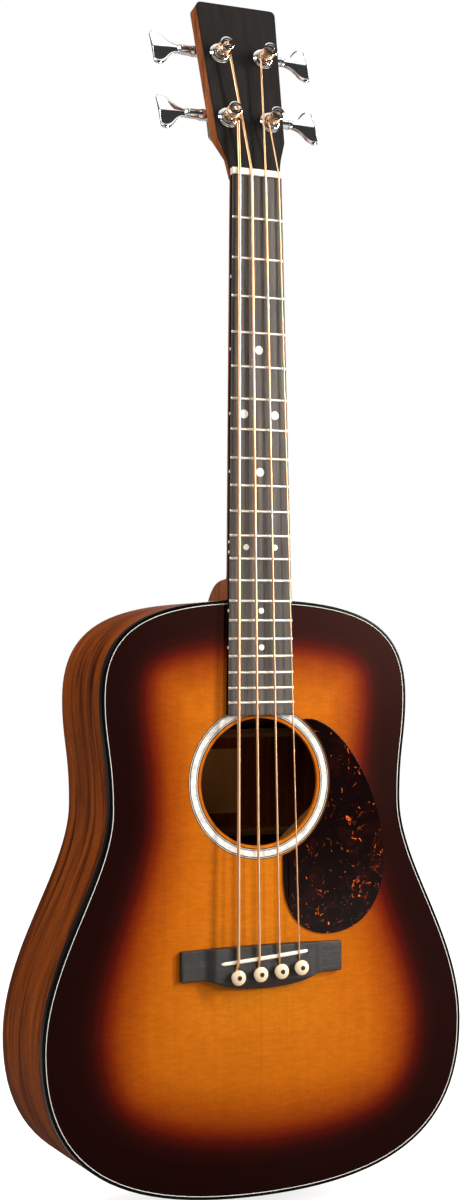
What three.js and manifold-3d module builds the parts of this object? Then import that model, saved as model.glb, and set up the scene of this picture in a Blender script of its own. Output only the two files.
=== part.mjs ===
// Short-scale acoustic bass guitar with four strings, in millimetres.
//
// The finished part stands upright: +Z runs up the neck and the soundboard faces -Y.
// Its pieces are drawn lying on the back and stood up at the end. In the drawing frame x runs across
// towards the thinnest string, y up the neck from the bridge line, and z points out of the soundboard.
// The neck has a frame of its own, set back a little, and the headstock another, tilted back from the neck.

import * as THREE from 'three';
import { mergeVertices } from 'three/addons/utils/BufferGeometryUtils.js';
import Module from 'manifold-3d';

const wasm = await Module();
wasm.setup();

// Clearances

const gap = 0.3; // between pieces that touch
const overrun = 2; // how far a cutter passes through what it cuts

// String length and frets

const scaleLength = 609.6;
const fretCount = 20;
const fretsPerOctave = 12;
const fretLine = (number) => scaleLength / 2 ** (number / fretsPerOctave);

// Body outline, from the tail to the shoulder, and the shares that set how full each curve is

const body = {
  tail: -190.95,
  lowerHalf: 178.4,
  lowerLine: -67.2,
  waistHalf: 124.5,
  waistLine: 111.5,
  upperHalf: 131,
  upperLine: 196.4,
  shoulder: 272.85,
  tailDepth: 109,
  shoulderDepth: 94.5,
  backArch: 3.5,
};
const fullnessShares = {
  tail: 0.654,
  lowerFromTail: 0.724,
  lowerToWaist: 0.383,
  waistFromLower: 0.291,
  waistToUpper: 0.485,
  upperFromWaist: 0.382,
  upperToShoulder: 0.71,
  shoulder: 0.736,
};
const outlineSteps = 9; // stations on each of the four curves of one side
const backStrips = 12; // flats across the arched back

// Plates, ribs and trim

const top = { thickness: 3 };
const back = { thickness: 2.5 };
const rib = { thickness: 2 };
const binding = { width: 2, height: 6 };
const purfling = { width: 1.2 };
const lining = { width: 6, height: 12 };
const soundhole = { line: 129.7, radius: 50, segments: 40 };
const rosette = { inner: 52.3, outer: 60.5, depth: 1.2 };
const guard = {
  thickness: 0.9,
  inner: 61.2, // radius of the edge that follows the rosette
  tipX: 37.6,
  shoulderX: 68,
  shoulderLine: 184,
  outerX: 108.9,
  outerUpper: 122,
  outerLine: 66,
  outerLower: 28,
  bellyOuterX: 86,
  bellyX: 60,
  bellyInnerX: 32,
  bellyLine: 8,
  innerX: 19.3,
  innerLower: 28,
  innerLine: 56,
  segments: 12,
};

// Blocks and braces

const neckBlock = { half: 32, length: 30, wrenchRadius: 4.5 };
const tailBlock = { half: 30, length: 20 };
const endPin = {
  depth: 50,
  length: 24,
  tip: 3.4,
  shank: 4.3,
  flange: 6,
  flangeWidth: 2.2,
  neck: 3.4,
  neckEnd: 5,
  head: 7,
  headStart: 7.2,
  headEnd: 11.5,
  crown: 6.3,
  face: 4.2,
  chamfer: 0.6,
};
const xBrace = {
  width: 8,
  height: 14,
  tip: 4.5,
  crossing: 57,
  angle: 48,
  upReach: 172,
  downReach: 215,
  lap: 26,
};
const upperBrace = { line: 206, width: 12, height: 14 };
const toneBar = { width: 7, height: 10, tip: 3.5, angle: 28 };
const upperToneBar = { x: -6, line: -76, length: 152 };
const lowerToneBar = { x: 4, line: -124, length: 136 };
const scallopShares = { along: 0.5, height: 0.55 }; // where a brace is scooped, and how high it is there
const bridgePlate = { half: 43, upper: 9, lower: -33, thickness: 2.5 };
const tallBackBrace = { width: 7, height: 14, upperLine: 165, lowerLine: 84 };
const wideBackBrace = { width: 16, height: 9, upperLine: 0, lowerLine: -98 };

// Bridge, saddle and pins

const bridge = {
  half: 68.7,
  wingUpper: 1.9,
  crownUpper: 3.3,
  wingLower: -21.2,
  bellyLower: -30.3,
  bellyEnd: 52,
  bellyTurn: 39,
  wingEnd: 4,
  wingRoot: 4.7,
  scoopOuter: 50,
  scoopInner: 41,
  shoulder: 8.2,
  crown: 8.7,
  curveSegments: 5,
};
const saddle = { half: 36.7, bassLine: -9.2, trebleLine: -3.3, width: 3, floor: 4.4, crest: 10.4 };
const pin = {
  hole: 3.8,
  shank: 3.4,
  tip: 2.5,
  depth: 14,
  collar: 4.6,
  head: 5.1,
  collarHeight: 0.9,
  dome: 3,
};
const pinDomeShares = [
  // shares of the head's radius and of the dome's height
  { across: 1, up: 0 },
  { across: 0.82, up: 0.68 },
  { across: 0.45, up: 0.94 },
  { across: 0, up: 1 },
];
const ball = { radius: 2.2, half: 3, depth: 8.3, shift: 1.5 };

// Neck, fingerboard and nut

const board = { thickness: 4.8, radius: 406, nutHalf: 21.45, taperShare: 0.01628, end: 182, segments: 3 };
const fret = { foot: 1.1, crown: 0.55, height: 1, root: 0.5, inset: 0.2 };
const neck = {
  setBack: 0.22,
  lift: 0.3,
  nutDepth: 15,
  heelDepth: 90,
  shaftDepth: 18.2,
  capLength: 1.5,
  heelReach: 16.3,
  fillet: 5,
  capHalf: 10,
  overlap: 6,
  segments: 12,
  heelSteps: 8,
  filletSteps: 3,
  shaftSteps: 4,
};
const heelPowers = { spacing: 2, fall: 0.5 }; // how the heel's face bulges from the shaft to its cap
const sectionPowers = { shaft: 2.25, heel: 4.3 }; // 2 is an ellipse, and more is squarer
const tenon = { half: 12, length: 16, top: 7, bottom: 66, root: 3.5 };
const nut = { thickness: 5.5, crest: 6.6, lift: 1.3 };
const trussRod = {
  width: 6,
  top: 0.3,
  bottom: 9.7,
  start: 2,
  endShort: 12,
  nutRadius: 3,
  nutLine: 10.6,
  nutLength: 7,
};

// Headstock

const head = {
  angle: 14.3,
  start: 3.4,
  rise: 1,
  edge: 3,
  thickness: 14,
  veneer: 1.8,
  nutHalf: 21.9,
  flareUp: 14,
  flareHalf: 23.2,
  kneeUp: 21,
  kneeHalf: 26.6,
  cheekUp: 30,
  cheekHalf: 29.2,
  topHalf: 34.9,
  topUp: 151.3,
  corner: 4.8,
  curveSteps: 6,
};
const throat = [
  // how the headstock's lower corners round off towards the nut: the corner's place and its two radii
  { up: -6, centreX: 6.9, acrossRadius: 15, top: 2.2, depthRadius: 12 },
  { up: 14, centreX: 13.3, acrossRadius: 10, top: 5, depthRadius: 9.2 },
  { up: 34, centreX: 29.2, acrossRadius: 0.6, top: 13.7, depthRadius: 0.6 },
];
const throatSteps = 4;

// Tuners

const tuner = {
  lowerPost: 47,
  lowerX: 18.4,
  upperPost: 105,
  upperX: 19.1,
  keyUp: 11.7,
  keyDepth: 19.6,
  hole: 5.9,
};
const post = {
  shaft: 4.4,
  waist: 3.9,
  foot: 24,
  waistFrom: 5,
  waistTo: 15.1,
  capFrom: 15.3,
  cap: 5.9,
  top: 16.8,
  chamfer: 0.5,
};
const postSlot = { half: 1.65, floor: 9.9 };
const bushing = {
  sleeve: 5.6,
  sleeveDepth: 13.7,
  washer: 8.8,
  washerTop: 1.3,
  nut: 7.2,
  nutTop: 4.6,
  chamfer: 0.5,
};
const housing = {
  half: 7.6,
  below: 13.2,
  above: 17.8,
  corner: 5,
  depth: 12.6,
  chamfer: 1.4,
  root: 5,
  nose: 4.2,
  reach: 44,
};
const key = { shaft: 2.9, collar: 4, collarWidth: 2, start: 6, lean: 9.3 };
const button = { length: 23.2, half: 16.4, fold: 4.5, ridge: 2, rim: 0.9, lip: 0.4 };
const buttonShares = [
  // shares of the button's length and of its half width
  { along: 0, across: 0.22 },
  { along: 0.16, across: 0.25 },
  { along: 0.33, across: 0.385 },
  { along: 0.5, across: 0.657 },
  { along: 0.64, across: 0.886 },
  { along: 0.8, across: 1 },
  { along: 0.93, across: 0.971 },
  { along: 1, across: 0.843 },
];

// Strings, thickest first: each names its tuner by its side and its row

const eString = { radius: 1.33, nutX: -16.6, saddleX: -24, pinX: -24.6, pinLine: -19.6, turns: 2 };
const aString = { radius: 1.08, nutX: -6, saddleX: -6.4, pinX: -5.7, pinLine: -18.3, turns: 2 };
const dString = { radius: 0.83, nutX: 6.2, saddleX: 10.9, pinX: 12.1, pinLine: -17.2, turns: 2 };
const gString = { radius: 0.57, nutX: 17.9, saddleX: 28.4, pinX: 29.3, pinLine: -15.5, turns: 2.5 };
const strings = Object.entries({ e: eString, a: aString, d: dString, g: gString }).map(
  ([name, string], i) => ({ name, ...string, side: i < 2 ? -1 : 1, row: i % 3 ? 'upper' : 'lower' }),
);
const stringSides = 6;
const boreSides = 12; // round bores and the shafts that turn in them
const stringBend = 2.4;
const winding = { start: 6.9, spacing: 0.6, steps: 24, sides: 6, tailEnd: 0.6, bendSteps: 3 };

// Where a hanger's yoke holds the guitar, under the flare of the headstock

const hanger = { line: 624, depth: 9 };

// Finishes

const finish = (color, roughness, metalness = 0) =>
  new THREE.MeshStandardMaterial({ color, roughness, metalness });
const finishes = {
  sunburst: finish(0xc8701c, 0.3),
  spruce: finish(0xd9b27c, 0.7),
  sapele: finish(0x5c3320, 0.5),
  mahogany: finish(0x6b3a24, 0.5),
  blackWood: finish(0x1b1a1a, 0.55),
  black: finish(0x0f0d0d, 0.3),
  ivory: finish(0xe9e2d2, 0.4),
  pearl: finish(0xe6e6ea, 0.25),
  tortoise: finish(0x2a0f09, 0.15),
  bronze: finish(0xc98a4a, 0.35, 1),
  chrome: finish(0xd8d8dc, 0.12, 1),
  steel: finish(0x8a8c90, 0.4, 1),
};

// Solids and meshes

const vec2 = (x, y) => new THREE.Vector2(x, y);
const vec3 = (x, y, z) => new THREE.Vector3(x, y, z);
const degrees = THREE.MathUtils.degToRad;
const mix = THREE.MathUtils.lerp;

function weld(geometry) {
  const bare = geometry.clone();
  bare.deleteAttribute('normal');
  bare.deleteAttribute('uv');
  return mergeVertices(bare);
}

function solid(geometry, matrix) {
  const welded = weld(matrix ? geometry.clone().applyMatrix4(matrix) : geometry);
  return new wasm.Manifold(
    new wasm.Mesh({
      numProp: 3,
      vertProperties: Float32Array.from(welded.attributes.position.array),
      triVerts: Uint32Array.from(welded.index.array),
    }),
  );
}

function geometryOf(shape) {
  const mesh = shape.getMesh();
  const geometry = new THREE.BufferGeometry();
  geometry.setAttribute('position', new THREE.BufferAttribute(mesh.vertProperties, mesh.numProp));
  geometry.setIndex(new THREE.BufferAttribute(mesh.triVerts, 1));
  geometry.computeVertexNormals();
  return geometry;
}

function cut(shape, cutters) {
  return cutters.reduce((left, cutter) => left.subtract(cutter), shape);
}

function piece(parent, name, shape, material) {
  const geometry = shape.isBufferGeometry ? weld(shape) : geometryOf(shape);
  geometry.computeVertexNormals();
  const mesh = new THREE.Mesh(geometry, material);
  mesh.name = name;
  parent.add(mesh);
}

// Turns a closed triangle mesh so that its faces point out.
function facingOut(geometry) {
  const { array } = geometry.attributes.position;
  const index = geometry.index.array;
  const corners = [vec3(), vec3(), vec3()];
  let volume = 0;
  for (let i = 0; i < index.length; i += 3) {
    corners.forEach((corner, k) => corner.fromArray(array, index[i + k] * 3));
    volume += corners[0].dot(corners[1].cross(corners[2]));
  }
  if (volume < 0) {
    for (let i = 0; i < index.length; i += 3) {
      [index[i], index[i + 1]] = [index[i + 1], index[i]];
    }
  }
  return geometry;
}

// Joins rings of points, each with as many points as the next, into one closed body.
function loft(rings, closed = false) {
  const count = rings[0].length;
  const points = rings.flat();
  const index = [];
  const spans = closed ? rings.length : rings.length - 1;
  for (let i = 0; i < spans; i++) {
    const near = i * count;
    const far = ((i + 1) % rings.length) * count;
    for (let j = 0; j < count; j++) {
      const k = (j + 1) % count;
      index.push(near + j, far + j, far + k, near + j, far + k, near + k);
    }
  }
  if (!closed) {
    const addCap = (ring, first, turned) => {
      const centre = ring.reduce((sum, point) => sum.add(point), vec3()).divideScalar(count);
      points.push(centre);
      for (let j = 0; j < count; j++) {
        const k = (j + 1) % count;
        const pair = turned ? [first + k, first + j] : [first + j, first + k];
        index.push(points.length - 1, ...pair);
      }
    };
    addCap(rings[0], 0, false);
    addCap(rings[rings.length - 1], (rings.length - 1) * count, true);
  }
  const geometry = new THREE.BufferGeometry().setFromPoints(points);
  geometry.setIndex(index);
  return facingOut(geometry);
}

function block([x0, x1], [y0, y1], [z0, z1]) {
  const geometry = new THREE.BoxGeometry(x1 - x0, y1 - y0, z1 - z0);
  return geometry.translate((x0 + x1) / 2, (y0 + y1) / 2, (z0 + z1) / 2);
}

function extruded(outline, low, high, holes = []) {
  const shape = new THREE.Shape(outline);
  shape.holes = holes.map((hole) => new THREE.Path(hole));
  const geometry = new THREE.ExtrudeGeometry(shape, { depth: high - low, bevelEnabled: false });
  return geometry.translate(0, 0, low);
}

function circle(radius, segments, x = 0, y = 0) {
  return Array.from({ length: segments }, (_, i) => {
    const turn = (i / segments) * Math.PI * 2;
    return vec2(x + radius * Math.cos(turn), y + radius * Math.sin(turn));
  });
}

const discAt = (x, y, radius, low, high, segments) => extruded(circle(radius, segments, x, y), low, high);

// A revolved body about +z: the profile lists distance from the axis and height.
function revolved(profile, segments) {
  const points = profile.map(([radius, height]) => vec2(radius, height));
  const geometry = new THREE.LatheGeometry(points, segments);
  return facingOut(weld(geometry.rotateX(Math.PI / 2)));
}

// A path through stations, where each station gets one ring of a tube.
class Route extends THREE.Curve {
  constructor(stations) {
    super();
    this.stations = stations;
  }

  getPoint(share, target = vec3()) {
    const place = share * (this.stations.length - 1);
    const index = Math.min(Math.floor(place), this.stations.length - 2);
    return target.lerpVectors(this.stations[index], this.stations[index + 1], place - index);
  }

  getPointAt(share, target) {
    return this.getPoint(share, target);
  }

  getTangentAt(share, target = vec3()) {
    const last = this.stations.length - 1;
    const index = Math.round(share * last);
    const here = this.stations[index];
    target.set(0, 0, 0);
    if (index > 0) target.add(here.clone().sub(this.stations[index - 1]).normalize());
    if (index < last) target.add(this.stations[index + 1].clone().sub(here).normalize());
    return target.normalize();
  }
}

function tube(stations, radius, sides) {
  const section = new THREE.Shape(circle(radius, sides));
  const settings = { steps: stations.length - 1, extrudePath: new Route(stations) };
  return facingOut(weld(new THREE.ExtrudeGeometry(section, settings)));
}

// Rounds the corners of a path: each corner becomes a short curve that starts and ends a bend away.
function rounded(corners, bend, steps) {
  const stations = [corners[0]];
  for (let i = 1; i < corners.length - 1; i++) {
    const [before, here, after] = [corners[i - 1], corners[i], corners[i + 1]];
    const reach = Math.min(bend, before.distanceTo(here) / 2, here.distanceTo(after) / 2);
    const start = here.clone().add(before.clone().sub(here).setLength(reach));
    const end = here.clone().add(after.clone().sub(here).setLength(reach));
    const curve = new THREE.QuadraticBezierCurve3(start, here, end);
    stations.push(...curve.getPoints(steps));
  }
  stations.push(corners[corners.length - 1]);
  return stations;
}

// Frames of the neck and of the headstock

const neckMatrix = new THREE.Matrix4()
  .makeTranslation(0, body.shoulder, neck.lift)
  .multiply(new THREE.Matrix4().makeRotationX(degrees(-neck.setBack)));
const nutFace = scaleLength - body.shoulder;
const headMatrix = new THREE.Matrix4()
  .makeTranslation(0, nutFace + head.start, head.rise)
  .multiply(new THREE.Matrix4().makeRotationX(degrees(-head.angle)));
const headInDrawing = neckMatrix.clone().multiply(headMatrix);
const drawingInNeck = neckMatrix.clone().invert();

const boardHalf = (line) => board.nutHalf + board.taperShare * (nutFace - line);
const boardTop = (x) => board.thickness - (x * x) / (2 * board.radius);

// Body outline

const sideCurves = (() => {
  const shares = fullnessShares;
  const ends = [
    [0, body.tail],
    [body.lowerHalf, body.lowerLine],
    [body.waistHalf, body.waistLine],
    [body.upperHalf, body.upperLine],
    [0, body.shoulder],
  ].map(([x, y]) => vec2(x, y));
  const [tailEnd, lower, waist, upper, shoulderEnd] = ends;
  const towards = (from, to, share) => vec2(from.x, mix(from.y, to.y, share));
  const handles = [
    [vec2(lower.x * shares.tail, tailEnd.y), towards(lower, tailEnd, shares.lowerFromTail)],
    [towards(lower, waist, shares.lowerToWaist), towards(waist, lower, shares.waistFromLower)],
    [towards(waist, upper, shares.waistToUpper), towards(upper, waist, shares.upperFromWaist)],
    [towards(upper, shoulderEnd, shares.upperToShoulder), vec2(upper.x * shares.shoulder, shoulderEnd.y)],
  ];
  return handles.map(([first, second], i) =>
    new THREE.CubicBezierCurve(ends[i], first, second, ends[i + 1]));
})();

// Points of one side of the outline, moved inwards by the inset, from the tail to the shoulder.
function sideOutline(inset) {
  return sideCurves.flatMap((curve, k) => {
    const first = k === 0 ? 0 : 1;
    return Array.from({ length: outlineSteps + 1 - first }, (_, i) => {
      const share = (i + first) / outlineSteps;
      const point = curve.getPoint(share);
      const tangent = curve.getTangent(share);
      return vec2(Math.max(point.x - tangent.y * inset, 0), point.y + tangent.x * inset);
    });
  });
}

function wholeOutline(inset) {
  const side = sideOutline(inset);
  const mirrored = side.slice(1, -1).reverse().map((point) => vec2(-point.x, point.y));
  return [...side, ...mirrored];
}

// Rings of a strip that follows the outline: its section lists inset and height.
const stripRings = (outlines, section) =>
  outlines[0].map((_, i) =>
    section.map(([, height], k) => vec3(outlines[k][i].x, outlines[k][i].y, height)));

function fullStrip(section) {
  return loft(stripRings(section.map(([inset]) => wholeOutline(inset)), section), true);
}

function sideStrip(section, side) {
  const outlines = section.map(([inset]) =>
    sideOutline(inset).map((point) => vec2(side * Math.max(point.x, gap / 2), point.y)));
  return loft(stripRings(outlines, section));
}

// The arched back

function backHeight(x, y) {
  const share = (y - body.tail) / (body.shoulder - body.tail);
  const across = x / body.lowerHalf;
  return body.backArch * across * across - mix(body.tailDepth, body.shoulderDepth, share);
}

function backSlab(low, high) {
  const rings = [body.tail - overrun, body.shoulder + overrun].map((y) => {
    const xs = Array.from({ length: backStrips + 1 }, (_, i) =>
      mix(-body.lowerHalf - overrun, body.lowerHalf + overrun, i / backStrips));
    const upper = xs.map((x) => vec3(x, y, backHeight(x, y) + high));
    const lower = xs.map((x) => vec3(x, y, backHeight(x, y) + low)).reverse();
    return [...upper, ...lower];
  });
  return solid(loft(rings));
}

const belowBack = backSlab(-body.tailDepth, back.thickness + gap);
const deepest = -body.tailDepth - overrun;
const ribInset = rib.thickness + gap;
const belowTop = -top.thickness - gap;
const insideRibs = solid(extruded(wholeOutline(ribInset), deepest, belowTop));
const insideLinings = solid(extruded(wholeOutline(ribInset + lining.width + gap), deepest, belowTop));

// Routes of the strings

const pegOf = ({ side, row }) =>
  row === 'lower' ? vec2(side * tuner.lowerX, tuner.lowerPost) : vec2(side * tuner.upperX, tuner.upperPost);

function saddleLine(x) {
  return mix(saddle.bassLine, saddle.trebleLine, (x + saddle.half) / (2 * saddle.half));
}

const saddleCrest = (x) => saddle.crest - (x * x) / (2 * board.radius);
const windRadius = (string) => post.waist + gap + string.radius;

// Where a string meets the turns on its post, in the headstock frame.
function postMeeting(string) {
  const rise = boardTop(string.nutX) + nut.lift + string.radius;
  const nutPoint = vec3(string.nutX, nutFace + nut.thickness, rise);
  const from = nutPoint.applyMatrix4(headMatrix.clone().invert());
  const peg = pegOf(string);
  const reach = windRadius(string);
  const toPeg = peg.clone().sub(vec2(from.x, from.y));
  const distance = toPeg.length();
  const inner = -string.side;
  const direction = toPeg.rotateAround(vec2(0, 0), -inner * Math.asin(reach / distance)).normalize();
  const touch = vec2(from.x, from.y).addScaledVector(direction, Math.sqrt(distance ** 2 - reach ** 2));
  const turn = Math.atan2(touch.y - peg.y, touch.x - peg.x);
  return { from, peg, reach, inner, touch: vec3(touch.x, touch.y, winding.start), turn };
}

function stringRoute(string) {
  const { pinX, pinLine, saddleX, nutX, radius } = string;
  const meeting = postMeeting(string);
  const passage = pinLine + pin.hole;
  const boardRise = (line) => vec3(nutX, line, boardTop(nutX) + nut.lift + radius).applyMatrix4(neckMatrix);
  const corners = [
    vec3(pinX, passage, -ball.depth),
    vec3(pinX, passage, bridge.crown - radius),
    vec3(saddleX, saddleLine(saddleX), saddleCrest(saddleX) + gap + radius),
    boardRise(nutFace + nut.thickness / 2),
    meeting.touch.clone().applyMatrix4(headInDrawing),
  ];
  return rounded(corners, stringBend, winding.bendSteps);
}

const stringTubes = strings.map((string) => tube(stringRoute(string), string.radius, stringSides));
const stringPassages = strings.map((string) => tube(stringRoute(string), string.radius + gap, stringSides));
const pinHoles = strings.map(({ pinX, pinLine }) =>
  solid(discAt(pinX, pinLine, pin.hole, -pin.depth, bridge.crown + overrun, boreSides)));
const passageSolids = stringPassages.map((geometry) => solid(geometry));

const guitar = new THREE.Group();

// Soundboard, binding, purfling and rosette

function addTop() {
  const trim = binding.width + gap;
  const edge = trim + purfling.width + gap;
  const plate = extruded(wholeOutline(edge), -top.thickness, 0, [
    circle(soundhole.radius, soundhole.segments, 0, soundhole.line),
  ]);
  const ring = (inner, outer, low, high) =>
    extruded(circle(outer, soundhole.segments, 0, soundhole.line), low, high, [
      circle(inner, soundhole.segments, 0, soundhole.line),
    ]);
  const channel = ring(rosette.inner - gap, rosette.outer + gap, -rosette.depth - gap, overrun);
  const soundboard = cut(solid(plate), [solid(channel), ...pinHoles, ...passageSolids]);
  piece(guitar, 'soundboard', soundboard, finishes.sunburst);
  piece(guitar, 'rosette', ring(rosette.inner, rosette.outer, -rosette.depth, 0), finishes.pearl);
  const strip = (inset, width, height) =>
    fullStrip([[inset, 0], [inset + width, 0], [inset + width, -height], [inset, -height]]);
  piece(guitar, 'top_binding', strip(0, binding.width, binding.height), finishes.black);
  piece(guitar, 'top_purfling', strip(trim, purfling.width, top.thickness), finishes.ivory);
}

// Ribs, linings, back and blocks

function addRim() {
  const plate = solid(extruded(wholeOutline(0), deepest, 0));
  piece(guitar, 'back_plate', backSlab(0, back.thickness).intersect(plate), finishes.sapele);
  const socketHalf = tenon.half + gap;
  const socket = solid(
    block([-socketHalf, socketHalf], [-tenon.length - gap, overrun + gap], [-body.tailDepth, gap]),
    neckMatrix,
  );
  const pinHole = solid(
    new THREE.CylinderGeometry(endPin.shank + gap, endPin.shank + gap, endPin.length * 2, boreSides)
      .translate(0, body.tail, -endPin.depth),
  );
  const sides = { bass: -1, treble: 1 };
  const blockAt = ({ half, length }, end, inwards, clearance) => {
    const reach = end + inwards * (length + clearance);
    const ends = [Math.min(end, reach), Math.max(end, reach)];
    return solid(block([-half - clearance, half + clearance], ends, [deepest, 0]));
  };
  const blocks = [blockAt(neckBlock, body.shoulder, -1, gap), blockAt(tailBlock, body.tail, 1, gap)];
  const upperLow = -binding.height - gap;
  const liningInner = ribInset + lining.width;
  const topSection = [
    [ribInset, belowTop],
    [liningInner, belowTop],
    [ribInset, belowTop - lining.height],
  ];
  const backSection = [
    [ribInset, -body.shoulderDepth + lining.height],
    [liningInner, -body.shoulderDepth],
    [ribInset, -body.shoulderDepth],
  ];
  for (const [name, side] of Object.entries(sides)) {
    const wall = sideStrip(
      [[0, upperLow], [rib.thickness, upperLow], [rib.thickness, deepest], [0, deepest]],
      side,
    );
    piece(guitar, `rib_${name}`, cut(solid(wall), [belowBack, socket, pinHole]), finishes.sapele);
    piece(guitar, `top_lining_${name}`, cut(solid(sideStrip(topSection, side)), blocks), finishes.spruce);
    const backLining = raisedToBack(sideStrip(backSection, side));
    piece(guitar, `back_lining_${name}`, cut(solid(backLining), [...blocks, belowBack]), finishes.spruce);
  }
  const { wrenchRadius, length } = neckBlock;
  const wrench = solid(
    new THREE.CylinderGeometry(wrenchRadius, wrenchRadius, length * 2, boreSides)
      .translate(0, -tenon.length, -trussRod.nutLine),
    neckMatrix,
  );
  const neckBlank = blockAt(neckBlock, body.shoulder, -1, 0).intersect(insideRibs);
  piece(guitar, 'neck_block', cut(neckBlank, [belowBack, socket, wrench]), finishes.mahogany);
  const tailBlank = blockAt(tailBlock, body.tail, 1, 0).intersect(insideRibs);
  piece(guitar, 'tail_block', cut(tailBlank, [belowBack, pinHole]), finishes.mahogany);
}

// Moves each point of a strip drawn for the depth at the shoulder to the seat that the back leaves there.
function raisedToBack(geometry) {
  const { position } = geometry.attributes;
  const seat = back.thickness + gap;
  for (let i = 0; i < position.count; i++) {
    const rise = backHeight(position.getX(i), position.getY(i)) + body.shoulderDepth + seat;
    position.setZ(i, position.getZ(i) + rise);
  }
  return geometry;
}

// Braces

// A bar along +x whose height rises from its tips to a peak, hanging from the plane z = 0.
function scallopedBar(leftEnd, rightEnd, peak, width, height, tip) {
  const scoop = -mix(tip, height, scallopShares.height);
  const profile = [
    vec2(leftEnd, 0),
    vec2(leftEnd, -tip),
    vec2(mix(leftEnd, peak, scallopShares.along), scoop),
    vec2(peak, -height),
    vec2(mix(rightEnd, peak, scallopShares.along), scoop),
    vec2(rightEnd, -tip),
    vec2(rightEnd, 0),
  ];
  return extruded(profile, -width / 2, width / 2).rotateX(Math.PI / 2);
}

function addBraces() {
  const turnedAt = (x, y, turn) =>
    new THREE.Matrix4().makeTranslation(x, y, belowTop)
      .multiply(new THREE.Matrix4().makeRotationZ(degrees(turn)));
  const crossBars = [-1, 1].map((side) => {
    const matrix = turnedAt(0, xBrace.crossing, 90 + side * xBrace.angle);
    const bar = scallopedBar(-xBrace.downReach, xBrace.upReach, 0, xBrace.width, xBrace.height, xBrace.tip);
    return { matrix, shape: solid(bar, matrix).intersect(insideLinings) };
  });
  const lap = (low, high) =>
    block([-xBrace.lap, xBrace.lap], [-xBrace.width / 2 - gap, xBrace.width / 2 + gap], [low, high]);
  const half = -xBrace.height / 2;
  const [bass, treble] = crossBars;
  const upperLap = solid(lap(half - gap / 2, overrun), treble.matrix);
  const lowerLap = solid(lap(-xBrace.height - overrun, half + gap / 2), bass.matrix);
  piece(guitar, 'x_brace_bass', bass.shape.subtract(upperLap), finishes.spruce);
  piece(guitar, 'x_brace_treble', treble.shape.subtract(lowerLap), finishes.spruce);

  const across = block(
    [-body.upperHalf, body.upperHalf],
    [upperBrace.line - upperBrace.width / 2, upperBrace.line + upperBrace.width / 2],
    [belowTop - upperBrace.height, belowTop],
  );
  piece(guitar, 'upper_brace', solid(across).intersect(insideLinings), finishes.spruce);

  for (const [name, bar] of Object.entries({ upper: upperToneBar, lower: lowerToneBar })) {
    const { width, height, tip } = toneBar;
    const shape = scallopedBar(-bar.length / 2, bar.length / 2, 0, width, height, tip);
    const matrix = turnedAt(bar.x, bar.line, toneBar.angle);
    piece(guitar, `tone_bar_${name}`, solid(shape, matrix), finishes.spruce);
  }

  const plate = block(
    [-bridgePlate.half, bridgePlate.half],
    [bridgePlate.lower, bridgePlate.upper],
    [belowTop - bridgePlate.thickness, belowTop],
  );
  piece(guitar, 'bridge_plate', cut(solid(plate), [...pinHoles, ...passageSolids]), finishes.mahogany);

  const backBraces = [tallBackBrace, wideBackBrace].flatMap(({ width, height, upperLine, lowerLine }) =>
    [upperLine, lowerLine].map((line) => ({ width, height, line })));
  backBraces.forEach(({ width, height, line }, i) => {
    const bar = block(
      [-body.lowerHalf, body.lowerHalf],
      [line - width / 2, line + width / 2],
      [deepest, backHeight(0, line) + back.thickness + gap + height],
    );
    const shape = cut(solid(bar).intersect(insideLinings), [belowBack]);
    piece(guitar, `back_brace_${i + 1}`, shape, finishes.spruce);
  });
}

// Bridge, saddle, pins, pickguard and end pin

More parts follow.
